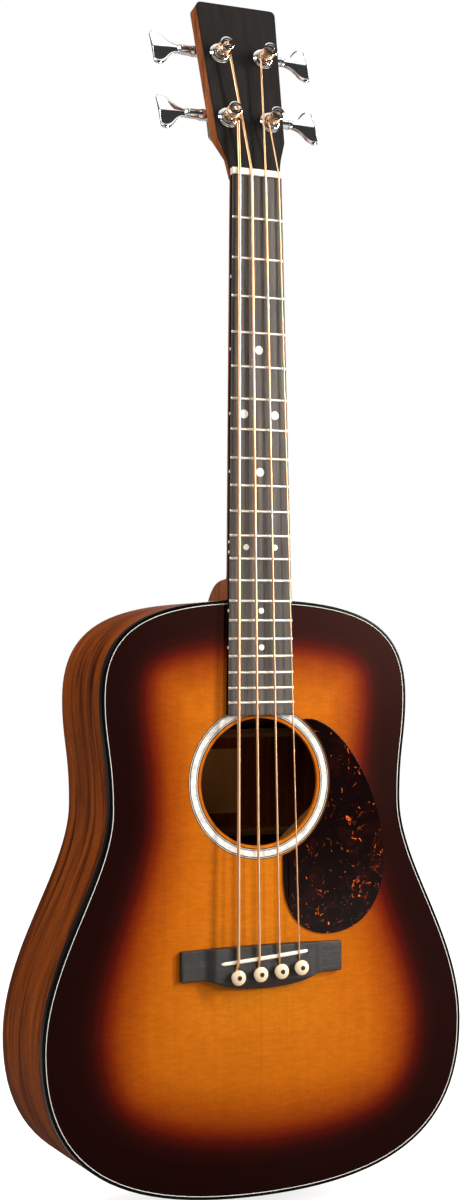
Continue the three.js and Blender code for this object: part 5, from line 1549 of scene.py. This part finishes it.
@dataclass
class Fingerboard:
    """Crowned board with frets and dots."""

    end: float = 182.0
    frets: int = 20
    wire_half: float = 1.1
    wire_height: float = 1.0
    wire_end: tuple[Point, ...] = ((0.0, 0.25), (0.35, 0.75))
    dot_places: tuple[tuple[int, float, float], ...] = (
        (5, 0.0, 3.5), (7, -13.3, 3.5), (7, 13.3, 3.5), (9, 0.0, 3.5), (12, -12.4, 2.4), (12, 12.4, 2.4),
        (15, 0.0, 2.4), (17, 0.0, 2.4))
    side_dots: tuple[tuple[int, int], ...] = (
        (3, 0), (5, 0), (7, 0), (9, 0), (12, -4), (12, 4), (15, 0), (17, 0))

    @staticmethod
    def fret_line(number: float) -> float:
        """Line of a fret on the neck."""
        return SCALE_LENGTH / 2 ** (number / 12) - SHOULDER

    def middle(self, number: int) -> float:
        """Line half way between a fret and the one before it."""
        return (self.fret_line(number) + self.fret_line(number - 1)) / 2

    def build(self) -> None:
        """Builds the board, the frets, the dots and the side dots."""
        self.board()
        self.wires()
        self.dots()

    def board(self) -> None:
        """Builds the board with its bevelled end, and the dark line along each edge."""
        tail, corner = self.end - SHOULDER, 0.5
        stations = [(tail, 0.5), (tail + 0.4, 0.1), (tail + 1, 0.0)]
        stations += [(y, 0.0) for y in steps(tail + 2, NUT_FACE, 70)]
        rings = []
        for line, shrink in stations:
            half, low = board_half(line) - shrink, board_below(line)
            edge = board_top(half) - corner - shrink
            ring = [(-half, line, low), (half, line, low), (half, line, edge)]
            ring += [(x, line, board_top(x) - shrink)
                     for x in steps(half - corner, -half + corner, 14)]
            ring.append((-half, line, edge))
            rings.append(ring)
        Maker.piece("fingerboard_crowned", loft(rings), NECK, BOARD_WOOD, Slot.DARK, replaces=["fingerboard"])
        for name, side in SIDES.items():
            rings = []
            for line in (tail + 0.6, 0.0, NUT_FACE):
                half, foot = board_half(line), board_below(line) + 0.04
                near, far, crest = half - 0.3, half + 0.06, board_top(half) - 0.62
                corners = ((near, foot), (far, foot), (far, crest), (near, crest))
                rings.append([(side * x, line, z) for x, z in corners])
            Maker.piece(f"fingerboard_edge_{name}", loft(rings), NECK, BLACK_LINE, Slot.DARK,
                        replaces=["fingerboard"])

    def wires(self) -> None:
        """Builds the fret wires, rounded on top and bevelled at their ends."""
        for number in range(1, self.frets + 1):
            line = self.fret_line(number)
            half = board_half(line) - 0.1
            stations = [(-half + along, share) for along, share in self.wire_end]
            stations += [(x, 1.0) for x in steps(-half + 0.8, half - 0.8, 14)]
            stations += [(half - along, share) for along, share in reversed(self.wire_end)]
            rings = []
            for x, share in stations:
                base, wide, high = board_top(x), self.wire_half, self.wire_height * share
                ring = [(x, line + y, base - 0.4) for y in (-wide, wide)]
                ring += [(x, line + wide * math.cos(t), base + high * math.sin(t))
                         for t in steps(0, math.pi, 8)]
                rings.append(ring)
            Maker.piece(f"fret_{number:02d}", loft(rings), NECK, NICKEL, Slot.DARK, replaces=["fingerboard"])

    def dots(self) -> None:
        """Lays the position dots and the side dots."""
        for i, (fret, x, radius) in enumerate(self.dot_places):
            shell = revolved([(0, -1), (radius, -1), (radius, -0.02), (radius - 0.1, 0.04), (0, 0.05)], 28)
            lean = Matrix.Rotation(math.atan(x / CROWN_RADIUS), 4, "Y")
            matrix = NECK @ Matrix.Translation((x, self.middle(fret), board_top(x))) @ lean
            Maker.piece(f"dot_{fret:02d}_{i}", shell, matrix, DOT_PEARL, Slot.ROSETTE)
        height = 2.3
        shell = revolved([(0, -0.8), (1.3, -0.8), (1.3, 0.1), (1.2, 0.15), (0, 0.16)], 18)
        for fret, shift in self.side_dots:
            line = self.middle(fret) + shift
            place = NECK @ Matrix.Translation((-board_half(line), line, height))
            matrix = place @ Matrix.Rotation(-QUARTER, 4, "Y")
            Maker.piece(f"side_dot_{fret:02d}_{shift + 4}", shell, matrix, WHITE_LINE, Slot.ROSETTE)


# Strings and tuners

class Row(Enum):
    """The two rows of posts: how far a post stands from the headstock's middle line, and how far up."""

    LOWER = (18.4, 47.0)
    UPPER = (19.1, 105.0)


@dataclass
class StringPath:
    """One string: where it runs, and how it winds on its post."""

    name: str
    radius: float
    nut_x: float
    saddle_x: float
    pin_x: float
    pin_line: float
    turns: float
    side: int
    row: Row
    taper: float = 0.4
    per_turn: int = 36
    ball_height: float = -8.3
    bend: float = 2.4

    def peg(self) -> Vector:
        """Centre of the string's post in the headstock's plane."""
        tuner = TUNERS[self.name]
        return Vector((tuner.x, tuner.up))

    def rise(self) -> float:
        """Height of the string's axis at the nut, over the neck."""
        return board_top(self.nut_x) + STRING_OVER_NUT + self.radius

    def meeting(self) -> tuple[Vector, Vector, float, float]:
        """Finds how the string meets its post, in the headstock's frame.

        Returns:
            Where it leaves the nut and touches the post, the radius that it winds at, and its first angle.
        """
        start = (HEAD_PLACE @ HEAD_TURN).inverted() @ Vector((self.nut_x, NUT_FACE + 5.5, self.rise()))
        peg, reach = self.peg(), POST_WAIST + CLEAR + self.radius
        to_peg = peg - start.to_2d()
        distance = to_peg.length
        turn = self.side * math.asin(reach / distance)
        along = Vector((to_peg.x * math.cos(turn) - to_peg.y * math.sin(turn),
                        to_peg.x * math.sin(turn) + to_peg.y * math.cos(turn))).normalized()
        touch = start.to_2d() + along * math.sqrt(distance ** 2 - reach ** 2)
        return start, Vector((*touch, FIRST_TURN)), reach, math.atan2(touch.y - peg.y, touch.x - peg.x)

    def span(self) -> list[Vector]:
        """Stations of the string in the part's frame, from its ball to just short of its turns."""
        start, touch, reach, _ = self.meeting()
        swept_by = math.hypot(reach + self.radius, 2 * self.radius) + CLEAR
        back, peg = (start - touch).normalized(), self.peg()
        stride = 0.05
        near = touch
        for step in range(400):
            near = touch + back * step * stride
            if (near.to_2d() - peg).length >= swept_by:
                break
        foot = self.pin_line + 3.8
        corners = [BODY @ Vector((self.pin_x, foot, self.ball_height)),
                   BODY @ Vector((self.pin_x, foot, BridgeUnit.crown - self.radius)),
                   BODY @ BridgeUnit.crest_point(self.saddle_x, 0.05 + self.radius),
                   NECK @ Vector((self.nut_x, NUT_FACE + 2.75, self.rise())),
                   HEAD @ near]
        return rounded(corners, self.bend / METRE, 6)

    def winding(self) -> tuple[list[Vector], list[float], float]:
        """Finds the turns about the post's axis.

        Returns:
            Their stations, their radii as the string tapers, and the angle of the slot that they end in.
        """
        start, touch, reach, turn = self.meeting()
        peg, inner = self.peg(), -self.side
        pitch, bend = 2 * self.radius + 0.6, self.radius + CLEAR
        back = (start - touch).normalized() * 2 * self.radius
        stations, radii = [Vector((touch.x - peg.x, touch.y - peg.y, touch.z)) + back], [self.radius]
        for i in range(round(self.turns * self.per_turn) + 1):
            angle = turn + inner * i / self.per_turn * 2 * math.pi
            thinner = self.taper * self.radius * eased(min(4 * i / self.per_turn, 1))
            out = reach - thinner
            height = FIRST_TURN + i / self.per_turn * pitch
            stations.append(Vector((out * math.cos(angle), out * math.sin(angle), height)))
            radii.append(self.radius - thinner)
        slot = turn + inner * (self.turns * 2 * math.pi + math.asin(bend / reach))
        direction = Vector((math.cos(slot), math.sin(slot), 0))
        lift = Vector((0, 0, FIRST_TURN + self.turns * pitch))
        corner, entry = direction * out + lift, direction * (reach - bend) + lift
        last = stations[-1]
        for share in steps(0, 1, 5)[1:]:
            stations.append(last.lerp(corner, share).lerp(corner.lerp(entry, share), share))
        stations.append(direction * 0.6 + lift)
        radii += [radii[-1]] * (len(stations) - len(radii))
        return stations, radii, slot

    def tube(self, name: str, route: Sequence[Vector], radii: Sequence[float], matrix: Matrix, body: str,
             node: str) -> None:
        """Builds a stretch of the string.

        Args:
            name: Name of the piece.
            route: Its stations in millimetres.
            radii: Its radius at each station.
            matrix: Frame of the stations.
            body: Body that it rides on.
            node: CAD node that it stands for.
        """
        shell, travel = swept(route, radii)
        obj = Maker.object_of(name, shell, matrix)
        Maker.number_points(obj, "travel", travel)
        Maker.finish(obj, BRONZE[self.name], Slot.STRING, body, [node], 50)

    def build(self) -> None:
        """Builds the span, its ball end and the turns."""
        route = [Matrix.Scale(METRE, 4) @ p for p in self.span()]
        radii = [self.radius] * len(route)
        self.tube(f"string_{self.name}_span", route, radii, Matrix.Scale(MM, 4), "guitar",
                  f"string_{self.name}")
        ball = revolved([(0.9, -3), (2.0, -3), (2.2, -2.6), (1.5, -1), (1.5, 1), (2.2, 2.6), (2.0, 3),
                         (0.9, 3), (0.9, -3)], 20)
        centre = Matrix.Translation((self.pin_x, self.pin_line + 5.3, self.ball_height))
        matrix = BODY @ (centre @ Matrix.Rotation(QUARTER, 4, "Y"))
        Maker.piece(f"string_{self.name}_ball", ball, matrix, NICKEL, Slot.STRING)
        stations, radii, _ = self.winding()
        matrix = HEAD @ Matrix.Translation((*self.peg(), 0))
        self.tube(f"turns_{self.name}", stations, radii, matrix, f"post_{self.name}",
                  f"string_turns_{self.name}")


@dataclass
class Tuner:
    """One geared tuner: bushing, post, housing and key."""

    name: str
    side: int
    x: float
    up: float
    key_up: float = 11.7
    key_depth: float = 19.6
    key_shaft: float = 2.9
    key_bore: float = 3.15
    reach: float = 44.0
    lean: float = math.radians(9.3)
    half: float = 7.6
    below: float = 8.4
    above: float = 17.8
    corner: float = 5.0
    seat: float = -14.02
    depth: float = 12.6
    bore: float = 4.6
    screws: tuple[tuple[float, float], ...] = ((0.6, 3.1), (-5.6, 1.5), (13.4, 1.6))
    button_half: float = 16.8
    button_length: float = 23.2
    button_fold: float = math.radians(4.5)
    button_shares: tuple[Point, ...] = (
        (0, 0.2), (0.08, 0.21), (0.16, 0.25), (0.25, 0.31), (0.33, 0.385), (0.42, 0.51), (0.5, 0.657),
        (0.57, 0.79), (0.64, 0.886), (0.72, 0.96), (0.8, 1.0), (0.87, 1.0), (0.93, 0.971), (0.97, 0.92),
        (0.99, 0.875), (1.0, 0.84))

    def matrix(self) -> Matrix:
        """Frame at the post's axis on the headstock's face."""
        return HEAD @ Matrix.Translation((self.x, self.up, 0))

    def sideways(self) -> Matrix:
        """Turn that points an upright shape out of the headstock's side."""
        return Matrix.Rotation(self.side * QUARTER, 4, "Y")

    def nose(self) -> float:
        """How far the housing's nose reaches from the post's axis."""
        return self.reach - abs(self.x)

    def build(self) -> None:
        """Builds the four parts of the tuner."""
        self.bushing()
        self.post()
        self.housing()
        self.key()

    def bushing(self) -> None:
        """Builds the sleeve, its washer and its stepped nut."""
        profile = [(self.bore, -13.7), (5.6, -13.7), (5.6, 0.02), (8.6, 0.02), (8.8, 0.2), (8.8, 0.8),
                   (8.4, 1.2), (7.6, 1.35), (7.3, 1.7), (7.2, 2.2), (7.2, 3.8), (6.9, 4.3), (6.3, 4.6),
                   (5.0, 4.6), (self.bore, 4.3), (self.bore, -13.7)]
        Maker.piece(f"bushing_{self.name}", revolved(profile, 40), self.matrix(), CHROME, Slot.CHROME,
                    replaces=[f"tuner_bushing_{self.name}"])

    def post(self) -> None:
        """Builds the slotted post with its waist and cap."""
        profile = [(0, -24), (4.1, -24), (4.4, -23.6), (4.4, 4.3), (4.15, 4.8), (POST_WAIST, 5.4),
                   (POST_WAIST, 14.4), (4.1, 14.9), (4.9, 15.25), (5.7, 15.45), (5.9, 15.7), (5.9, 16.2),
                   (5.75, 16.55), (5.3, 16.8), (3.4, 16.78), (3.2, 16.5), (0, 16.45)]
        obj = Maker.object_of(f"post_{self.name}_turned", revolved(profile, 40), self.matrix())
        slot = STRINGS[self.name].winding()[-1]
        cutter = box((-9, 9), (-1.65, 1.65), (9.9, 20)).moved(Matrix.Rotation(slot, 4, "Z"))
        Maker.carve(obj, self.matrix(), [cutter])
        Maker.finish(obj, CHROME, Slot.CHROME, f"post_{self.name}", [f"tuner_post_{self.name}"])

    def housing(self) -> None:
        """Builds the closed housing with its nose round the key's shaft."""
        right, low, high = self.half - self.corner, -self.below + self.corner, self.above - self.corner
        centres = ((right, low, -0.5), (right, high, 0), (-right, high, 0.5), (-right, low, 1))
        outline = [Vector((x + self.corner * math.cos((t + start) * math.pi),
                           y + self.corner * math.sin((t + start) * math.pi)))
                   for x, y, start in centres for t in steps(0, 0.5, 6)]
        pot = prism(outline, self.seat - self.depth, self.seat, 1.4, 4)
        obj = Maker.object_of(f"housing_{self.name}", pot, self.matrix())
        axis = Matrix.Translation((0, self.key_up, -self.key_depth)) @ self.sideways()
        length = self.nose()
        profile = [(0, 2), (5.0, 2), (5.0, 13), (4.8, 15), (4.4, 16.5), (4.2, 18), (4.15, length - 0.5),
                   (3.8, length), (0, length)]
        Maker.carve(obj, self.matrix(), [revolved(profile).moved(axis)], Cut.ADD)
        post_bore = prism(circle(4.55, 28), -27, -10)
        key_bore = prism(circle(self.key_bore, 28), -6.3, length + 4).moved(axis)
        Maker.carve(obj, self.matrix(), [post_bore, key_bore])
        Maker.finish(obj, CHROME, Slot.CHROME, replaces=[f"tuner_housing_{self.name}"])
        self.fixings()

    def fixings(self) -> None:
        """Builds the cover screw and the two fixing screws, each with a groove turned its own way."""
        for i, (y, radius) in enumerate(self.screws):
            head = [(0, 0.3), (radius, 0.3), (radius, -0.25), (radius * 0.8, -0.7), (0, -0.85)]
            place = self.matrix() @ Matrix.Translation((0, y, self.seat - self.depth))
            screw = Maker.object_of(f"screw_{self.name}_{i}", revolved(head, 24), place)
            groove = box((-radius - 1, radius + 1), (-radius * 0.14, radius * 0.14), (-1.5, -0.4))
            Maker.carve(screw, place, [groove.moved(Matrix.Rotation(0.7 + i, 4, "Z"))])
            Maker.finish(screw, CHROME, Slot.CHROME)

    def key(self) -> None:
        """Builds the key's shaft and its folded two-lobed button."""
        start = self.nose() + CLEAR
        base = Matrix.Translation((0, self.key_up, -self.key_depth)) @ Matrix.Rotation(-self.lean, 4, "X")
        profile = [(0, -6), (self.key_shaft, -6), (self.key_shaft, start), (3.9, start), (4, start + 0.2),
                   (4, start + 1.6), (3.6, start + 2), (2.4, start + 3.2), (0, start + 3.2)]
        shaft = revolved(profile).moved(base @ self.sideways())
        body, nodes = f"key_{self.name}", [f"tuner_key_{self.name}"]
        Maker.piece(f"key_shaft_{self.name}", shaft, self.matrix(), CHROME, Slot.CHROME, body, nodes)
        rings = []
        for along, across in self.button_shares:
            x = self.side * (start + 1.7 + along * self.button_length)
            thin = 1.0 - 0.45 * max(0.0, (along - 0.95) / 0.05) ** 2
            rings.append([(x, y, z) for y, z in self.button_section(across * self.button_half, thin)])
        button = loft(rings).moved(base)
        Maker.piece(f"key_button_{self.name}", button, self.matrix(), CHROME, Slot.CHROME, body, nodes, 50)

    def button_section(self, half: float, thin: float) -> list[tuple[float, float]]:
        """Section across the button.

        Args:
            half: Half its width.
            thin: Share of its thickness.

        Returns:
            The section, folded back along the middle, thickest there and with a bead along each edge.
        """
        fold, edge = math.tan(self.button_fold), 0.94
        outer, under = [], []
        for u in steps(-1, 1, 24):
            past = max(abs(u) - edge, 0)
            rim = 0.9 + 1.1 * (1 - abs(u)) + 0.45 * math.exp(-((abs(u) - edge) / 0.045) ** 2)
            rise = rim * thin * max(math.sqrt(max(1 - past ** 2 / 0.0036, 0)), 0.12)
            middle = -fold * abs(u) * half
            outer.append((u * half, middle + rise))
            under.append((u * half, middle - rise))
        return outer + under[::-1]


STRINGS = {
    "e": StringPath("e", 1.33, -16.6, -24.0, -24.6, -19.6, 2.0, SIDES["bass"], Row.LOWER),
    "a": StringPath("a", 1.08, -6.0, -6.4, -5.7, -18.3, 2.0, SIDES["bass"], Row.UPPER),
    "d": StringPath("d", 0.83, 6.2, 10.9, 12.1, -17.2, 2.0, SIDES["treble"], Row.UPPER),
    "g": StringPath("g", 0.57, 17.9, 28.4, 29.3, -15.5, 2.5, SIDES["treble"], Row.LOWER),
}
TUNERS = {name: Tuner(name, s.side, s.side * s.row.value[0], s.row.value[1]) for name, s in STRINGS.items()}


# Studio

@dataclass(frozen=True)
class Lamp:
    """One soft lamp: where it stands, what it faces, its size, power and tint."""

    name: str
    place: tuple[float, float, float]
    target: tuple[float, float, float]
    size: tuple[float, float]
    power: float
    tint: Colour = (1.0, 1.0, 1.0)

    def build(self) -> None:
        """Hangs the lamp."""
        data = bpy.data.lights.new(self.name, "AREA")
        data.shape = "RECTANGLE"
        data.size, data.size_y = self.size
        data.energy = self.power
        data.color = self.tint
        obj = bpy.data.objects.new(self.name, data)
        obj.location = self.place
        obj.rotation_euler = (Vector(self.target) - Vector(self.place)).to_track_quat("-Z", "Y").to_euler()
        bpy.context.scene.collection.objects.link(obj)


@dataclass
class Studio:
    """Camera, lamps, backdrop and floor."""

    camera_place: tuple[float, float, float] = (-0.6490, -1.4537, -0.4018)
    camera_view: tuple[float, float, float] = (0.43402, 0.89956, 0.04912)
    camera_up: tuple[float, float, float] = (-0.01392, -0.04782, 0.99876)
    lens: float = 60.22
    shift: tuple[float, float] = (-0.06884, -0.02938)
    floor_line: float = -0.8275
    lamps: tuple[Lamp, ...] = (
        Lamp("key_softbox", (2.0, -1.35, 0.54), (0.0, 0.0, -0.35), (0.32, 1.4), 104.0, (1.0, 0.96, 0.9)),
        Lamp("sheen_softbox", (1.25, -1.7, -0.05), (0.0, 0.0, -0.45), (0.3, 0.4), 22.0, (1.0, 0.96, 0.9)),
        Lamp("rib_softbox", (-2.1, -0.35, 1.0), (-0.1, 0.03, -0.15), (1.0, 1.2), 40.0, (1.0, 0.97, 0.93)),
        Lamp("left_fill", (-1.6, -2.4, 0.9), (0.0, 0.0, -0.5), (1.2, 1.2), 12.0, (1.0, 0.97, 0.93)),
        Lamp("back_softbox", (1.5, 2.3, 0.5), (0.0, 0.1, -0.4), (1.2, 1.4), 40.0, (1.0, 0.97, 0.93)),
    )

    def build(self) -> None:
        """Sets the camera, the lamps, the world and the floor."""
        self.camera()
        for lamp in self.lamps:
            lamp.build()
        self.world()
        self.floor()
        bpy.context.scene.view_settings.view_transform = "Standard"

    def camera(self) -> None:
        """Puts the camera where the photograph was taken from."""
        data = bpy.data.cameras.new("photo_camera")
        data.lens = self.lens
        data.sensor_width = 36.0
        data.shift_x, data.shift_y = self.shift
        view, up = Vector(self.camera_view).normalized(), Vector(self.camera_up)
        right = view.cross(up).normalized()
        up = right.cross(view)
        matrix = Matrix((right, up, -view)).transposed().to_4x4()
        matrix.translation = Vector(self.camera_place)
        obj = bpy.data.objects.new("photo_camera", data)
        obj.matrix_world = matrix
        bpy.context.scene.collection.objects.link(obj)
        bpy.context.scene.camera = obj

    def world(self) -> None:
        """Hangs a surround that looks white, and lights the scene from above and a little from behind."""
        world = bpy.data.worlds.new("studio_surround")
        bpy.context.scene.world = world
        world.use_nodes = True
        n = Nodes(world.node_tree)
        n.tree.nodes.clear()
        _, depth, height = n.parts(n.add("TexCoord").outputs["Generated"])
        behind = n.ranged(depth, -0.25, 0.45, 0.05, 0.16)
        above = n.ranged(height, 0.74, 0.86, 0.0, 1.8)
        lit = n.grey(n.math("MAXIMUM", behind, above))
        seen = n.add("LightPath").outputs["Is Camera Ray"]
        dim = n.add("Background", {"Color": lit, "Strength": 1.0}).outputs[0]
        bright = n.add("Background", {"Color": (1, 1, 1, 1), "Strength": 1.0}).outputs[0]
        mixed = n.add("MixShader", {0: seen, 1: dim, 2: bright}).outputs[0]
        n.add("OutputWorld", {0: mixed})

    def floor(self) -> None:
        """Lays a wide pale floor."""
        reach, under = 14.0, -0.05
        corners = ((-reach, 0), (reach, 0), (reach, under), (-reach, under))
        rings = [[(x, y, z) for y, z in corners] for x in steps(-reach, reach, 8)]
        obj = Maker.object_of("studio_floor", loft(rings), Matrix.Translation((0, 0, self.floor_line)))
        obj.data.materials.append(FLOOR.material())


def main() -> None:
    """Builds the scene."""
    logging.basicConfig(level=logging.INFO, format="%(name)s: %(message)s")
    Studio().build()
    outline = BodyOutline()
    for unit in (SoundboardUnit(outline), BodyBox(outline), Pickguard(), BridgeUnit(), EndPin(), NeckUnit(),
                 Fingerboard()):
        unit.build()
    for name in STRING_NAMES:
        STRINGS[name].build()
        TUNERS[name].build()
    log.info("%d pieces built", Maker.count)


if __name__ == "__main__":
    main()
